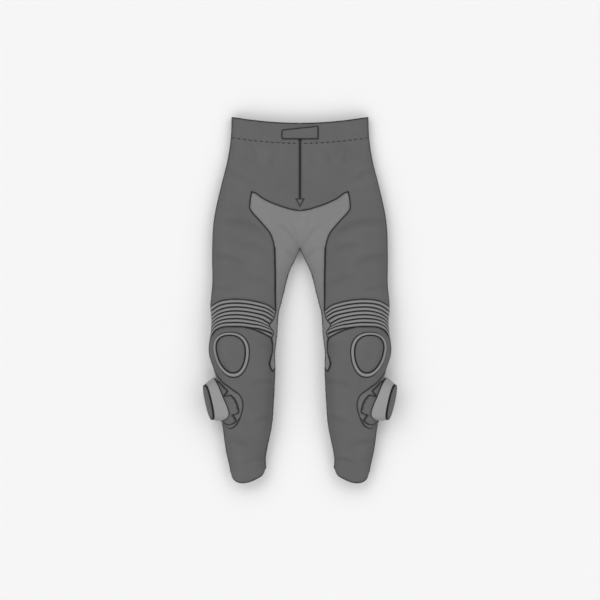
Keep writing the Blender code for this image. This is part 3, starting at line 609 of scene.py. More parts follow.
print("finishes in all", len(bpy.data.materials))

# %% [markdown]
# ## Cutting a panel
# A panel starts as one flat face with the outline of its pattern. Insetting it a few times gives
# loops that run along the seam, where the edge has to roll down neatly. Slicing it on a square
# grid then gives the middle enough points to bend and crease. Modelling the folded panel
# directly would be harder, and the flat cut also gives the map for its grain.

# %% Cut and slice
def dense(outline, nearest=0.6):
    """A closed outline with no long side, and no points that nearly meet."""
    outline = np.array(outline, dtype=float)
    points = []
    for start, end in zip(outline, np.roll(outline, -1, axis=0)):
        count = max(1, math.ceil(math.dist(start, end) / STEP))
        points.extend(start + (end - start) * number / count for number in range(count))
    kept = [points[0]]
    for point in points[1:]:
        if math.dist(point, kept[-1]) > nearest:
            kept.append(point)
    if math.dist(kept[0], kept[-1]) <= nearest:
        kept.pop()
    return np.array(kept)


def cut_sheet(outline, borders, cell):
    bm = bmesh.new()
    sheet = bm.faces.new([bm.verts.new((across, up, 0.0)) for across, up in outline])
    sheet.normal_update()
    if sheet.normal.z < 0:
        sheet.normal_flip()
    for width in borders:
        inside = max(bm.faces, key=lambda face: face.calc_area())
        bmesh.ops.inset_region(bm, faces=[inside], thickness=width, use_even_offset=False, use_boundary=True)
    for axis in range(2):
        first = math.ceil(outline[:, axis].min() / cell)
        last = math.floor(outline[:, axis].max() / cell)
        for number in range(first, last + 1):
            point = Vector((0, 0, 0))
            point[axis] = number * cell
            normal = Vector((0, 0, 0))
            normal[axis] = 1
            geometry = bm.verts[:] + bm.edges[:] + bm.faces[:]
            bmesh.ops.bisect_plane(bm, geom=geometry, dist=0.25, plane_co=point, plane_no=normal)
    bmesh.ops.triangulate(bm, faces=[face for face in bm.faces if len(face.verts) > 4])
    # an inset can turn a sliver over at a sharp corner
    bm.normal_update()
    for face in bm.faces:
        if face.normal.z < 0:
            face.normal_flip()
    return bm


# %% [markdown]
# ## Laying a panel on the garment
# A panel is laid in one go: creases lift or sink its points, its edge rolls down into the seam, and
# `wrap` takes it round the body. Pulling a flat mesh about by hand would part the seams. Along the
# side seam and the inseam the cloth stands up as a low bead. Each panel keeps its flat pattern as a
# map, and a modifier gives it its wall inwards, so its outer face stays where it was laid.

# %% Edges, dye with painted shade, and beads
ROLL_REACH = 1.4             # how far in from its edge a panel rolls down
DYE_AND_SHADE_FADE = 1.0
QUIET_REACH = 2.7            # a quiet seam keeps its grey this far to both sides
QUIET_FADE = 2.5
QUIET_ROLL = 0.25            # and rolls down by this share
BEAD_HEIGHT = 1.3
BEAD_REACH = 2.0
BEAD_DYE_AND_SHADE = 5.0              # dyed and painted with shade this far to both sides of the seam, and then fading
BEAD_FADE = 5.0


def smooth_step(value):
    value = np.clip(value, 0.0, 1.0)
    return value * value * (3 - 2 * value)


def seam_shade(distance, dark=2.1):
    """Dye and painted shade of an edge, 1 up to about `dark` mm from it."""
    return 1 - smooth_step((distance - dark) / DYE_AND_SHADE_FADE + 0.5)


def seam_bead(plan):
    """Rise of the bead along the side seam and the inseam, and its dye with painted shade."""
    side, _, gap, _ = edges_of(left_half(plan))
    away = np.minimum(np.abs(side), gap)
    return np.exp(-(away / BEAD_REACH) ** 2), 1 - smooth_step((away - BEAD_DYE_AND_SHADE) / BEAD_FADE)


# %% Lay it on the garment
def add_attributes(mesh, plan, shade, ridge):
    """Keep the pattern as a map in metres, and the two values that steer the finishes."""
    for name, values in (("seam", shade), ("ridge", ridge)):
        made = mesh.attributes.new(name, "FLOAT", "POINT")
        made.data.foreach_set("value", np.asarray(values, dtype=np.float32))
    corners = np.zeros(len(mesh.loops), dtype=np.int32)
    mesh.loops.foreach_get("vertex_index", corners)
    layer = mesh.uv_layers.new(name="cut")
    layer.data.foreach_set("uv", (np.asarray(plan)[corners] * MM).astype(np.float32).ravel())


def to_object(bm, name, finish, places):
    """Set every point in metres and make the object."""
    for vertex, place in zip(bm.verts, places):
        vertex.co = Vector(place) * MM
    bm.normal_update()
    mesh = bpy.data.meshes.new(name)
    bm.to_mesh(mesh)
    bm.free()
    mesh.shade_smooth()
    mesh.materials.append(finish)
    piece = bpy.data.objects.new(name, mesh)
    bpy.context.scene.collection.objects.link(piece)
    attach(piece, "root")
    return piece


def small_parts(bm, name, finish):
    """Many small hard parts of one finish, each already in its place."""
    places = np.array([tuple(vertex.co) for vertex in bm.verts])
    piece = to_object(bm, name, finish, places)
    add_attributes(piece.data, places[:, :2], np.zeros(len(places)), np.full(len(places), 0.5))
    print(name, len(piece.data.polygons), "faces")
    return piece


def thicken(piece, wall):
    layer = piece.modifiers.new("wall", "SOLIDIFY")
    layer.thickness = wall * MM
    layer.offset = -1.0
    layer.use_even_offset = False


def sheet_piece(name, outline, half, finish, wall, base=0.0, roll=1.3, dark=2.1, quiet=None,
                raised=None, borders=(1.1, 1.2, 2.0), cell=STEP, creased=1.0):
    """Cut a panel, crease it, roll its edges down and lay it on the garment."""
    outline = dense(outline)
    bm = cut_sheet(outline, borders, cell)
    plan = np.array([vertex.co[:2] for vertex in bm.verts])
    distance = distance_to(plan, np.vstack((outline, outline[:1])))
    creases = creased * crease_lift(plan, half)
    edge = np.exp(-(distance / ROLL_REACH) ** 2)
    # the panel's edge is dyed and darkened with painted shade
    shade = seam_shade(distance, dark)
    if quiet is not None:
        off_quiet = smooth_step((distance_to(left_half(plan), quiet) - QUIET_REACH) / QUIET_FADE)
        edge *= QUIET_ROLL + (1 - QUIET_ROLL) * off_quiet
        shade *= off_quiet
    lift = base + creases - roll * edge
    if raised is not None:
        lift += raised(plan)
    if base == 0.0:
        bead, dye_and_shade = seam_bead(plan)
        lift += (BEAD_HEIGHT - lift) * bead
        shade = np.maximum(shade, dye_and_shade)
    places = wrap(np.column_stack((plan, lift)), half)
    if half < 0:
        bmesh.ops.reverse_faces(bm, faces=bm.faces[:])
    piece = to_object(bm, name, finish, places)
    # the creases' height becomes `ridge`: wear and painted light on ridges, painted shade in troughs
    add_attributes(piece.data, plan, shade, np.clip(0.5 + 0.22 * creases, 0, 1))
    thicken(piece, wall)
    return piece


# %% [markdown]
# ## Standing in for the solids
# Each sheet of cloth hides the plain solids of the nodes that it stands for.

# %% Hide the solids under a sheet
def stands_for(piece, slot, *nodes):
    """Show this piece in place of the plain solids of these nodes."""
    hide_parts(*nodes)


def declare_sheet(piece, slot, nodes):
    """Hide the plain solids that a sheet stands for."""
    stands_for(piece, slot, *nodes)


# %% [markdown]
# ## Fronts, backs and waistband
# The fronts run from the waistband to the bellows, and have a narrow slot at the middle where the
# zip shows. The band's lower seam gets no dye and no painted shade: what shows there is one row of
# long stitches. The backs run all the way from the band to the hem. They are seamed down the middle.

# %% Leather panels
HIDE = 2.0                   # walls of the panels and of the folded band
BAND = 2.4
BAND_CREASED = 0.4           # the stiff band takes up this share of a crease
front_side = upright_seam(side_at, bellows_top[-1, 1], WAIST_SEAM_SIDE)
band_side = upright_seam(side_at, WAIST_SEAM_SIDE, HALF_LENGTH)[1:-1]
slot = [(0, wing_top[0, 1]), (0, ZIP_BOTTOM), (ZIP_SLOT, ZIP_BOTTOM), (ZIP_SLOT, WAIST_SEAM_MIDDLE)]
front = np.vstack((slot, band_seam[1][1:], front_side[::-1][1:-1], bellows_top[::-1],
                   wing_under[::-1][1:], wing_top[::-1][:-1]))
band_slot = [(0, WAIST_MIDDLE), (0, ZIP_TOP), (ZIP_SLOT, ZIP_TOP), (ZIP_SLOT, WAIST_SEAM_MIDDLE)]
band_front = np.vstack((band_slot, band_seam[1][1:], band_side, band_top[1][::-1][:-1]))
half = np.vstack((band_seam[-1], band_side, band_top[-1][::-1]))
band_back = np.vstack((half, mirrored(half[::-1], -1)[1:-1]))
back_inseam = upright_seam(inseam, hem[-1][0, 1], CROTCH)[::-1]
back_side = upright_seam(side_at, hem[-1][-1, 1], WAIST_SEAM_SIDE)
back = np.vstack((band_seam[-1][::-1], back_inseam[:-1], hem[-1], back_side[1:-1]))
leg_inseam = upright_seam(inseam, hem[1][0, 1], STRIP_END)[::-1]
leg_side = upright_seam(side_at, hem[1][-1, 1], bellows_foot[-1, 1])
lower_leg = np.vstack((bellows_foot[::-1], strip[1:], leg_inseam[:-1], hem[1], leg_side[1:-1]))

# no dyed edge and no painted shade along the band's lower seam, the fly and the middle
middle_line = [(0, HALF_LENGTH), (0, wing_top[0, 1] + 4), (0, WAIST_SEAM_MIDDLE)]
quiet_front = np.vstack((middle_line, band_seam[1]))
for side_name, sign in SIDES:
    under = ["seat_and_leg_" + side_name]
    piece = sheet_piece("thigh_front_" + side_name, mirrored(front, sign), 1, leather, HIDE,
                        quiet=quiet_front)
    declare_sheet(piece, "leather", ["front_" + side_name])
    piece = sheet_piece("shin_front_" + side_name, mirrored(lower_leg, sign), 1, leather, HIDE, dark=2.5)
    declare_sheet(piece, "leather", ["lower_leg_" + side_name])
    piece = sheet_piece(under[0], mirrored(back, sign), -1, leather, HIDE, quiet=band_seam[-1])
    declare_sheet(piece, "leather", ["back_" + side_name])
    piece = sheet_piece("band_front_" + side_name, mirrored(band_front, sign), 1, leather, BAND,
                        dark=2.9, quiet=quiet_front, creased=BAND_CREASED)
    declare_sheet(piece, "leather", ["waistband_front_" + side_name])
piece = sheet_piece("band_back", band_back, -1, leather, BAND, quiet=band_seam[-1], creased=BAND_CREASED)
declare_sheet(piece, "leather", ["waistband_back"])

# %% [markdown]
# ## The stretch panel between the legs
# One piece of stretch fabric makes two wings at the front, the fork, and a strip down the inside of
# each leg to the knee. It is the same kind of flat cut as the leather panels.

# %% Stretch panel
fork_inseam = upright_seam(inseam, STRIP_END, CROTCH)
half = np.vstack((wing_top, wing_under, bite_side[1:-1], strip, fork_inseam))
stretch_panel = np.vstack((half, mirrored(half[::-1], -1)[1:-1]))
piece = sheet_piece("stretch_panel", stretch_panel, 1, stretch_fabric, 1.6, roll=1.2)
declare_sheet(piece, "stretch", ["crotch_panel"])

# %% [markdown]
# ## Ribbed bellows
# Seven round ribs with narrow valleys run across the knee, and a thin eighth one starts at the inner
# side and runs out under them. A rib is a swelling of one cloth, so the panel is one grid
# whose rows are spaced closely in the valleys and widely on the crowns.

# %% Bellows
RIBS = 7
RIB_HEIGHT = 3.3
RIB_WIDTH = 10.5
RIB_FULL = 8.0               # a rib narrower than this is lower too
VALLEY_LIFT = -1.0
VALLEY_SHADE = 1.95
END_DYE_AND_SHADE = 1.9
END_FADE = 7.0               # ribs run out over this length at both ends
COLUMN_STEP = 4.0
RIB_STATIONS = (0.0, 0.07, 0.15, 0.3, 0.5, 0.7, 0.85, 0.93)
# width of the eighth rib by place across
WEDGE = ((89, 9.5), (105, 7.0), (118, 4.4), (132, 1.2), (150, 0.0))


def rib_rows():
    """Rows from top to foot: rib number, place on the rib from 0 to 1."""
    rows = [(rib, place) for rib in range(RIBS + 1) for place in RIB_STATIONS]
    return rows + [(RIBS, 1.0)]


def make_bellows(side_name, sign):
    rows = rib_rows()
    wedge = np.interp(bellows_foot[:, 0], *zip(*WEDGE))
    last_line = bellows_foot + np.column_stack((np.zeros(len(wedge)), wedge))
    bm = bmesh.new()
    bmesh.ops.create_grid(bm, x_segments=COLUMNS, y_segments=len(rows) - 1, size=0.5)
    plan, lift, shade, lines = [], [], [], []
    for rib, place in rows:
        if rib < RIBS:
            whole = bellows_line((rib + place) / RIBS, foot=last_line)
        else:
            whole = last_line + (bellows_foot - last_line) * place
            whole[0, 0] = np.interp(-whole[0, 1], -bite[:, 1], bite[:, 0])
        lines.append(whole)
    for vertex in bm.verts:
        column = round((vertex.co.x + 0.5) * COLUMNS)
        row = round((0.5 - vertex.co.y) * (len(rows) - 1))
        rib, place = rows[row]
        width = RIB_WIDTH if rib < RIBS else wedge[column]
        crown = math.sin(math.pi * place) ** 0.6 * min(1.0, width / RIB_FULL)
        off_valley = min(place, 1 - place) * width
        off_end = min(column, COLUMNS - column) * COLUMN_STEP
        plan.append(lines[row][column])
        lift.append(VALLEY_LIFT + RIB_HEIGHT * crown * smooth_step(off_end / END_FADE))
        # painted shade in the valleys between ribs; dye and painted shade at the seams at both ends
        shade.append(max(seam_shade(off_valley, VALLEY_SHADE), seam_shade(off_end, END_DYE_AND_SHADE)))
    plan = np.array(plan) * (sign, 1.0)
    bead, dye_and_shade = seam_bead(plan)
    lift = np.array(lift) * (1 - bead) + BEAD_HEIGHT * bead
    shade = np.maximum(shade, dye_and_shade)
    places = wrap(np.column_stack((plan, lift + crease_lift(plan, 1))), 1)
    if sign < 0:
        bmesh.ops.reverse_faces(bm, faces=bm.faces[:])
    piece = to_object(bm, "knee_bellows_" + side_name, ribbed_fabric, places)
    # ridge: painted light on the rib crowns and painted shade in the valleys
    add_attributes(piece.data, plan, shade, np.clip(0.45 + 0.06 * lift, 0, 1))
    weld = piece.modifiers.new("weld", "WELD")
    weld.merge_threshold = 0.02 * MM
    thicken(piece, 1.2)
    return piece


for side_name, sign in SIDES:
    piece = make_bellows(side_name, sign)
    declare_sheet(piece, "ribbed", ["bellows_" + side_name])

# %% [markdown]
# ## Knee cups and rims
# Leather is moulded over a hard cup, and a pale rim is stitched round it. Seen from above both are
# egg-shaped, broad at the top. The cup is cut like a panel and lifted into a dome. The rim is a
# strip of loops, made by pulling one loop of edges out over and over.

# %% Egg shapes
RIM_EGG = ((185.5, -149.0), (47.0, 61.0))    # middle, and half its width and length
CUP_EGG = ((186.5, -147.0), (38.0, 51.5))
EGG_POWER = 0.9              # under 1 makes an oval squarer
EGG_TAPER = 0.2
EGG_LEAN = 5.0


def rounded(half_size, sides, power):
    turns = np.linspace(0, 2 * math.pi, sides, endpoint=False)
    across = np.sign(np.cos(turns)) * np.abs(np.cos(turns)) ** power
    up = np.sign(np.sin(turns)) * np.abs(np.sin(turns)) ** power
    return np.column_stack((half_size[0] * across, half_size[1] * up))


def egg(middle, size, sides=96):
    oval = rounded(size, sides, EGG_POWER)
    rise = oval[:, 1] / size[1]
    across = middle[0] + oval[:, 0] * (1 + EGG_TAPER * rise) + EGG_LEAN * rise
    return unroll(np.column_stack((across, middle[1] + oval[:, 1])))


def pulled_loops(rings):
    """A tube of quads: a circle of edges is pulled out to each next ring."""
    bm = bmesh.new()
    loop = bmesh.ops.create_circle(bm, segments=len(rings[0]), radius=1.0)["verts"]
    edges = bm.edges[:]
    for vertex, place in zip(loop, rings[0]):
        vertex.co = place
    for ring in rings[1:]:
        made = bmesh.ops.extrude_edge_only(bm, edges=edges)["geom"]
        edges = [item for item in made if isinstance(item, bmesh.types.BMEdge)]
        fresh = {item for item in made if isinstance(item, bmesh.types.BMVert)}
        following = []
        for vertex in loop:
            following.append(next(edge.other_vert(vertex) for edge in vertex.link_edges
                                  if edge.other_vert(vertex) in fresh))
        for vertex, place in zip(following, ring):
            vertex.co = place
        loop = following
        edges = [edge for edge in edges if edge.verts[0] in fresh and edge.verts[1] in fresh]
    return bm


# %% Cup and rim
CUP_LIFT = 3.0               # the cup's edge over the leather
CUP_RISE = 9.0
CUP_POWER = 2.2              # how flat its top is
CUP_TUCK = 0.6               # the edge tucks in under the rim, from this share outwards
CUP_TUCK_FROM = 0.86
RIM_WIDTH = 9.0
RIM_EDGE_SHADE = 1.7
# share of the way across the rim, and height over the leather
RIM_ROUND = ((0.0, 0.2), (0.0, 2.2), (0.12, 3.0), (0.32, 3.55), (0.55, 3.65), (0.78, 3.3), (0.94, 2.5),
             (1.0, 1.8), (1.02, 0.8), (1.17, 0.4), (1.19, 0.0))
middle = unroll([CUP_EGG[0]])[0]


def dome(plan):
    """Height of the cup over its edge, by how far out towards the edge a point is."""
    inner = egg(*CUP_EGG) - middle
    offset = left_half(plan) - middle
    turns = np.arctan2(inner[:, 1], inner[:, 0])
    reach = np.interp(np.arctan2(offset[:, 1], offset[:, 0]), turns, np.sqrt((inner ** 2).sum(axis=1)),
                      period=2 * math.pi)
    share = np.minimum(1.0, np.sqrt((offset ** 2).sum(axis=1)) / reach)
    tucked = smooth_step((share - CUP_TUCK_FROM) / (1 - CUP_TUCK_FROM))
    return CUP_RISE * (1 - share ** CUP_POWER) - CUP_TUCK * tucked


for side_name, sign in SIDES:
    cup = sheet_piece("knee_guard_" + side_name, mirrored(egg(*CUP_EGG), sign), 1, moulded_leather, 2.4,
                      base=CUP_LIFT, roll=1.6, dark=1.9, raised=dome, borders=(0.8, 1.0, 1.5), cell=3.0)
    stands_for(cup, "cup_leather", "knee_cup_" + side_name)
    near, far = egg(*CUP_EGG), egg(*RIM_EGG)
    plans, rings = [], []
    for share, lift in RIM_ROUND:
        plan = (near + (far - near) * share) * (sign, 1.0)
        plans.append(plan)
        rings.append(wrap(np.column_stack((plan, crease_lift(plan, 1) + lift)), 1))
    bm = pulled_loops(rings)
    if sign > 0:
        bmesh.ops.reverse_faces(bm, faces=bm.faces[:])
    rim = to_object(bm, "knee_rim_" + side_name, rim_rubber, np.vstack(rings))
    across = np.repeat([share for share, _ in RIM_ROUND], len(near)) * RIM_WIDTH
    off_edge = np.minimum(across, RIM_WIDTH - across)
    # painted shade along both edges of the rim, where it meets the cup and the leather
    add_attributes(rim.data, np.vstack(plans), seam_shade(off_edge, RIM_EDGE_SHADE), np.full(len(across), 0.5))
    stands_for(rim, "rim", "knee_ring_" + side_name)
print("cup and rim", len(cup.data.polygons), len(rim.data.polygons), "faces")

# %% [markdown]
# ## Sliders
# A teardrop of loop fabric is sewn round the outside of the calf. On it lies a stiff pad with two
# notches, and on that the hard slider is stuck. The slider is a tapered oval block. Its base
# follows the round of the calf and its worn outer disc faces out, a little down and a little up.

# %% Patch and pad
PATCH = ((233, -194), (214, -219), (185, -241), (161, -261), (154, -285), (160, -315), (175, -344),
         (191, -352), (204, -345), (212, -335))
HOOK = (((222, -219), (203, -238), (195, -247), (204, -261)),
        ((187, -257), (176, -269), (168, -289), (166, -308), (180, -314)),
        ((170, -329), (181, -338), (197, -341), (212, -331)))
PATCH_UNDER = 24.0           # how far each layer reaches round below the side seam
PAD_UNDER = 20.0
UNDER_POINTS = 16
UNDER_POWER = 0.35           # under 1 squares the part below the seam
PATCH_LIFT = 1.65            # outer faces over the leather
PAD_LIFT = 4.1


def pad_outline(upper, under, top, bottom):
    """The seen side of a slider layer, then its way round below the side seam."""
    heights = np.linspace(bottom, top, UNDER_POINTS)
    bulge = np.sin(np.linspace(0, math.pi, UNDER_POINTS)) ** UNDER_POWER
    return np.vstack((upper, np.column_stack((side_at(heights) + under * bulge, heights))[1:-1]))


patch = pad_outline(seam(PATCH), PATCH_UNDER, PATCH[0][1], PATCH[-1][1])
pad = pad_outline(np.vstack([seam(part) for part in HOOK]), PAD_UNDER, HOOK[0][0][1], HOOK[-1][-1][1])
for side_name, sign in SIDES:
    piece = sheet_piece("calf_patch_" + side_name, mirrored(patch, sign), 1, loop_pile, 1.2,
                        base=PATCH_LIFT, roll=0.4, dark=2.6)
    declare_sheet(piece, "loop", ["slider_patch_" + side_name])
    piece = sheet_piece("calf_pad_" + side_name, mirrored(pad, sign), 1, pad_cloth, 2.0,
                        base=PAD_LIFT, roll=0.6, dark=2.5, borders=(1.0, 1.2))
    declare_sheet(piece, "hook", ["slider_hook_" + side_name])

# %% Block and disc
PUCK_EDGE = ((230, -209), (223, -221), (214, -242), (206, -263), (193, -296), (190, -308), (190, -315),
             (194, -321), (201, -326), (212, -328))
FACE_MIDDLE = np.array((251.5, -279.5, 43.5))
FACE_HALF = (28.0, 50.0)
FACE_THICK = 3.0
FACE_POWER = 0.8
PUCK_SIDES = 72
PUCK_UNDER = 20.0
PUCK_TURN = -7               # where the base's ring starts, so that it isn't twisted against the face
PUCK_LIFTS = (4.9, 5.3, 6.2) # underside, rounded foot and start of the wall
PUCK_SWELL = 0.03
tilt, swing = (math.radians(angle) for angle in (18, 12.5))


def even_ring(outline):
    """Points at even spacing round a closed outline, with its corners a little rounded."""
    ring = even_points(np.vstack((outline, outline[:1])), np.linspace(0, 1, PUCK_SIDES, endpoint=False))
    for _ in range(2):
        ring = (np.roll(ring, 1, axis=0) + 2 * ring + np.roll(ring, -1, axis=0)) / 4
    return ring


# the base and the face both start below and run down the leg, up the seen edge and back
puck_outline = pad_outline(seam(PUCK_EDGE), PUCK_UNDER, PUCK_EDGE[0][1], PUCK_EDGE[-1][1])[::-1]
PUCK_PLAN = even_ring(np.roll(puck_outline, PUCK_TURN, axis=0))
FACE_PLAN = even_ring(rounded(FACE_HALF, 200, FACE_POWER))


def puck_base(size, lift):
    centre = PUCK_PLAN.mean(axis=0)
    return wrap(np.column_stack((centre + size * (PUCK_PLAN - centre), np.full(PUCK_SIDES, lift))), 1)


def face_ring(size, rise):
    level = math.cos(tilt)
    outward = np.array((level * math.cos(swing), -level * math.sin(swing), math.sin(tilt)))
    down_leg = np.array((-math.sin(swing), -math.cos(swing), 0.0))
    across = np.cross(outward, down_leg)
    return FACE_MIDDLE + rise * outward + size * (FACE_PLAN[:, :1] * across + FACE_PLAN[:, 1:] * down_leg)


def wall_rings():
    """Rings of the block: its base from the middle out, a rounded foot, the wall and its top."""
    low, foot, start = PUCK_LIFTS
    rings = [puck_base(size, low) for size in (0.02, 0.4, 0.75, 0.95)] + [puck_base(1.0, foot)]
    edge, seat = puck_base(1.0, start), face_ring(1.0, -FACE_THICK - 0.8)
    for share in (0.0, 0.045, 0.075, *np.linspace(0.16, 0.93, 10), 0.955, 1.0):
        ring = edge + (seat - edge) * share
        centre = ring.mean(axis=0)
        rings.append(centre + (ring - centre) * (1 + PUCK_SWELL * math.sin(math.pi * share) ** 0.8))
    top = ((0.975, -FACE_THICK - 0.2), (0.9, -FACE_THICK), (0.02, -FACE_THICK))
    return rings + [face_ring(size, rise) for size, rise in top]


# size of each ring of the disc, and its height over its front edge
FACE_ROUND = ((0.02, -2.9), (0.9, -2.9), (0.955, -2.7), (0.985, -2.3), (1.0, -1.8), (1.0, -1.2),
              (0.99, -0.6), (0.97, -0.15), (0.9, 0.15), (0.86, 0.25), (0.6, 0.8), (0.3, 1.05), (0.02, 1.1))
# rings painted dark as shade: the block's underside, foot and top under the disc, and the disc's back and
# edge
BLOCK_SHADE_RINGS = (*range(7), *range(-4, 0))
DISC_SHADE_RINGS = range(9)


def hard_piece(name, rings, finish, shaded_rings, node_name, slot, sign):
    rings = np.array(rings) * (sign, 1.0, 1.0)
    bm = pulled_loops(rings)
    bmesh.ops.holes_fill(bm, edges=bm.edges[:], sides=0)
    bmesh.ops.recalc_face_normals(bm, faces=bm.faces[:])
    places = rings.reshape(-1, 3)
    piece = to_object(bm, name, finish, places)
    shade = np.zeros(rings.shape[:2])
    # these rings carry painted shade
    shade[list(shaded_rings)] = 1.0
    add_attributes(piece.data, places[:, :2], shade.ravel(), np.full(len(places), 0.5))
    stands_for(piece, slot, node_name)
    return piece


for side_name, sign in SIDES:
    block = hard_piece("slider_block_" + side_name, wall_rings(), puck_nylon, BLOCK_SHADE_RINGS,
                       "slider_puck_" + side_name, "puck", sign)
    rings = [face_ring(size, rise) for size, rise in FACE_ROUND]
    disc = hard_piece("slider_disc_" + side_name, rings, disc_nylon, DISC_SHADE_RINGS,
                      "slider_face_" + side_name, "face", sign)
print("slider", len(block.data.polygons), len(disc.data.polygons), "faces")

# %% [markdown]
# ## Tab, zip and fly patch
# The waist closes with a tab that laps across the band. Its top edge slants up to the wearer's left.
# Below it the closed zip shows as a dark line down to a small triangle of leather that ends the fly.

# %% Tab and fly patch
TAB = ((-50.5, 444), (-49.0, 440.5), (-45.5, 439), (50.5, 439), (50.5, 476), (-45.5, 465.6),
       (-49.0, 463.8), (-50.5, 460.5))
TAB_LIFT = 2.95
FLY_TRIANGLE = ((-13, 277), (13, 277), (0, 254))
TRIANGLE_LIFT = 1.85
piece = sheet_piece("closing_tab", TAB, 1, leather, 2.5, base=TAB_LIFT, roll=0.7, dark=2.6,
                    creased=BAND_CREASED)
declare_sheet(piece, "leather", ["waist_tab"])
piece = sheet_piece("fly_triangle", FLY_TRIANGLE, 1, leather, 1.4, base=TRIANGLE_LIFT, roll=0.5, dark=1.9,
                    borders=(0.8, 0.9))
declare_sheet(piece, "leather", ["fly_patch"])

# %% Zip
TOOTH_PITCH = 1.5
TOOTH = (3.0, 1.25, 1.6)
TOOTH_BEVEL = 0.3
TOOTH_ASIDE = 0.75           # each row of teeth lies this far beside the middle
TOOTH_LIFT = -1.2
ZIP_END = 1.5
TAPE_HALF = 12
TAPE_LIFT = -2.9


def zip_chain():
    """Two rows of moulded teeth that mesh at the middle, on their tape."""
    bm = bmesh.new()
    heights = np.arange(ZIP_BOTTOM + ZIP_END, ZIP_TOP - ZIP_END, TOOTH_PITCH)
    plan = np.column_stack((np.zeros(len(heights)), heights, np.full(len(heights), TOOTH_LIFT)))
    for number, centre in enumerate(wrap(plan, 1)):
        aside = TOOTH_ASIDE if number % 2 else -TOOTH_ASIDE
        made = bmesh.ops.create_cube(bm, size=1.0)["verts"]
        bmesh.ops.scale(bm, vec=TOOTH, verts=made)
        edges = list({edge for vertex in made for edge in vertex.link_edges})
        cut = bmesh.ops.bevel(bm, geom=edges, offset=TOOTH_BEVEL, affect="EDGES", segments=1, profile=0.5,
                              material=-1)
        bmesh.ops.translate(bm, vec=Vector(centre) + Vector((aside, 0, 0)),
                            verts=list({vertex for face in cut["faces"] for vertex in face.verts}))
    return bm


teeth = small_parts(zip_chain(), "zip_teeth", zip_plastic)
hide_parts("fly_zip")
tape_top = ZIP_TOP - 1
tape_outline = [(-TAPE_HALF, ZIP_BOTTOM), (TAPE_HALF, ZIP_BOTTOM), (TAPE_HALF, tape_top),
                (-TAPE_HALF, tape_top)]
tape = sheet_piece("zip_tape", tape_outline, 1, zip_tape, 0.8, base=TAPE_LIFT, roll=0.0, dark=0.0,
                   creased=0.0, borders=(1.0,))
stands_for(tape, "zip", "fly_zip")

# %% [markdown]
# ## Stitching
# The band is held by one row of long black stitches, the same all round. The other seams are
# topstitched in a grey thread that hardly shows. Each row of the table is a line on the pattern, the
# half of the garment that it lies on, how far beside the line the stitches run, and how far over
# the leather. A stitch is a small bar that is drawn out between two places on the bent cloth.

# %% Rows of stitches
STITCH_PITCH = 4.4
STITCH_SHARE = 0.72          # length of a stitch as a share of its pitch
STITCH_BAR = (0.8, 0.5)      # width and height
DASH_PITCH = 15.15
DASHES = 12                  # on each side of the middle one
DASH_HALF = 4.0
DASH_BAR = (3.0, 1.3)
# the floor presses the back's stitches into the leather
STITCH_LIFT = {1: 0.1, -1: -0.1}
DASH_LIFT = {1: 0.2, -1: -0.5}
hem_top = {half: line[(line[:, 0] > inseam(line[:, 1]) + 1) & (line[:, 0] < side_at(line[:, 1]) - 1)]
           for half, line in hem.items()}
# line on the pattern, half of the garment, how far beside the line, how far over the leather
STITCH_ROWS = (
    (wing_top, 1, -4.6, 0.0),
    (wing_top, 1, 4.6, 0.0),
    (wing_under, 1, -4.6, 0.0),
    (wing_under, 1, 4.6, 0.0),
    (strip, 1, -4.6, 0.0),
    (bellows_top, 1, -4.6, 0.0),
    (bellows_foot, 1, 4.6, 0.0),
    (hem_top[1], 1, -6.5, 0.0),
    (hem_top[-1], -1, -6.5, 0.0),
    (upright_seam(side_at, -455, 496), 1, -11.0, 0.0),
    (upright_seam(side_at, -455, 496), -1, -11.0, 0.0),
    (upright_seam(inseam, -450, 120), 1, 10.0, 0.0),
    (upright_seam(inseam, -450, 120), -1, 10.0, 0.0),
    (band_top[1], 1, 5.0, 0.0),
    (band_top[-1], -1, 5.0, 0.0),
    (np.array([(0.0, 424.0), (0.0, 284.0)]), 1, -7.5, 0.0),
    (np.array([(0.0, 424.0), (0.0, 148.0)]), -1, -4.6, 0.0),
    (seam(PATCH[1:-1]), 1, -4.6, PATCH_LIFT),
)


def beside(line, away):
    """Points at one distance beside a line, without those that come nearer to it at a corner."""
    run = unit(np.gradient(line, axis=0))
    moved = line + away * np.column_stack((run[:, 1], -run[:, 0]))
    return moved[(distance_to(moved, line) > abs(away) - 0.2) & (moved[:, 0] > 1.0)]


def add_bars(bm, starts, ends, width, height, rounds):
    for start, end in zip(starts, ends):
        run = Vector(end - start)
        size = Vector((run.length, width, height))
        matrix = Matrix.LocRotScale(Vector((start + end) / 2), run.to_track_quat("X", "Z"), size)
        bmesh.ops.create_icosphere(bm, subdivisions=rounds, radius=0.5, matrix=matrix)


def stitch_ends(line, half, over, sign):
    """Both ends of each stitch along a line, on the creased cloth."""
    length = np.sqrt((np.diff(line, axis=0) ** 2).sum(axis=1)).sum()
    count = int(length / STITCH_PITCH)
    middles = (np.arange(count) + 0.5) / count
    ends = []
    for share in (-STITCH_SHARE / 2, STITCH_SHARE / 2):
        plan = even_points(line, middles + share / count) * (sign, 1.0)
        lift = crease_lift(plan, half) + over + STITCH_LIFT[half]
        ends.append(wrap(np.column_stack((plan, lift)), half))
    return ends


# %% Sew them
for side_name, sign in SIDES:
    bm = bmesh.new()
    for line, half, away, over in STITCH_ROWS:
        starts, ends = stitch_ends(beside(line, away), half, over, sign)
        add_bars(bm, starts, ends, *STITCH_BAR, 1)
    small_parts(bm, "grey_topstitches_" + side_name, thread_grey)

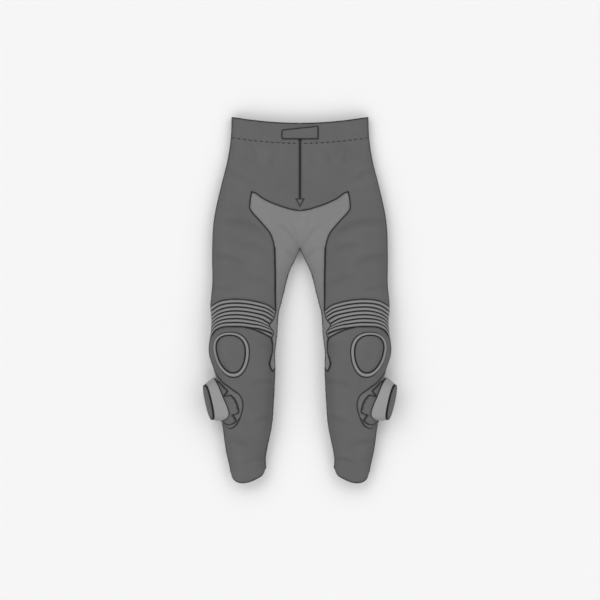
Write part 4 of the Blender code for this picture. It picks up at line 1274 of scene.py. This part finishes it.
bm = bmesh.new()
for half in (1, -1):
    middles = DASH_PITCH * np.arange(-DASHES, DASHES + 1)
    ends = []
    for across in (middles - DASH_HALF, middles + DASH_HALF):
        plan = unroll(np.column_stack((np.abs(across), waist_seam(across))), half)
        plan[:, 0] *= np.sign(across)
        lift = BAND_CREASED * crease_lift(plan, half) + DASH_LIFT[half]
        ends.append(wrap(np.column_stack((plan, lift)), half))
    add_bars(bm, *ends, *DASH_BAR, 2)
small_parts(bm, "black_band_stitches", thread_black)

# %% [markdown]
# ## Studio
# The trousers lie on a pale floor in a ring of soft light: the sky is bright all round at middle
# height, and dim at the horizon and overhead. Light that comes in low from all sides leaves an even
# halo of shade on the floor round the garment. A weak sun from the upper left models the folds.
# The camera is far off and straight above, so the garment shows without perspective.

# %% Floor and sun
FLOOR_DROP = 0.0006          # the floor lies just under the stitches of the back
bpy.ops.mesh.primitive_plane_add(size=14.0, location=(0.0, 0.0, -FLOOR_DROP))
floor = bpy.context.object
floor.name = "studio_floor"
paper, tree, shader = new_finish("floor_paper", Roughness=0.9, Specular_IOR_Level=0.1)
tree.links.new(clouded(tree, object_place(tree), 0.90, 0.004, (0.7, 5.0)), shader.inputs["Base Color"])
floor.data.materials.append(paper)

sun = bpy.data.lights.new("upper_left", "SUN")
sun.energy = 0.26
sun.angle = math.radians(40)
lamp = bpy.data.objects.new("upper_left", sun)
lamp.rotation_euler = (math.radians(-28), math.radians(-32), 0.0)
bpy.context.scene.collection.objects.link(lamp)

# %% Sky
world = bpy.data.worlds.new("studio")
world.use_nodes = True
tree = world.node_tree
rise = node(tree, "SeparateXYZ", {"Vector": node(tree, "TexCoord").outputs["Generated"]}).outputs["Z"]
above = node(tree, "MapRange", {"Value": rise, "From Min": 0.30, "From Max": 0.45}).outputs[0]
below = node(tree, "MapRange", {"Value": rise, "From Min": 0.92, "From Max": 0.82}).outputs[0]
ring = math_node(tree, "MULTIPLY", above, below)
background = tree.nodes["Background"]
tree.links.new(math_node(tree, "MULTIPLY_ADD", ring, 1.37, 0.12), background.inputs["Strength"])
background.inputs["Color"].default_value = (1.0, 1.0, 1.0, 1.0)
bpy.context.scene.world = world
bpy.context.scene.view_settings.view_transform = "Standard"

# %% Camera
FRAME_WIDTH = 1.640          # what the photo's width spans on the garment
GARMENT_MIDDLE = 0.03        # height at which it spans that
lens = bpy.data.cameras.new("camera")
lens.sensor_width = 36.0
distance = 9.0
lens.lens = lens.sensor_width * distance / FRAME_WIDTH
lens.clip_end = 50.0
camera = bpy.data.objects.new("camera", lens)
camera.location = (0.0, 0.0, distance + GARMENT_MIDDLE)
bpy.context.scene.collection.objects.link(camera)
bpy.context.scene.camera = camera
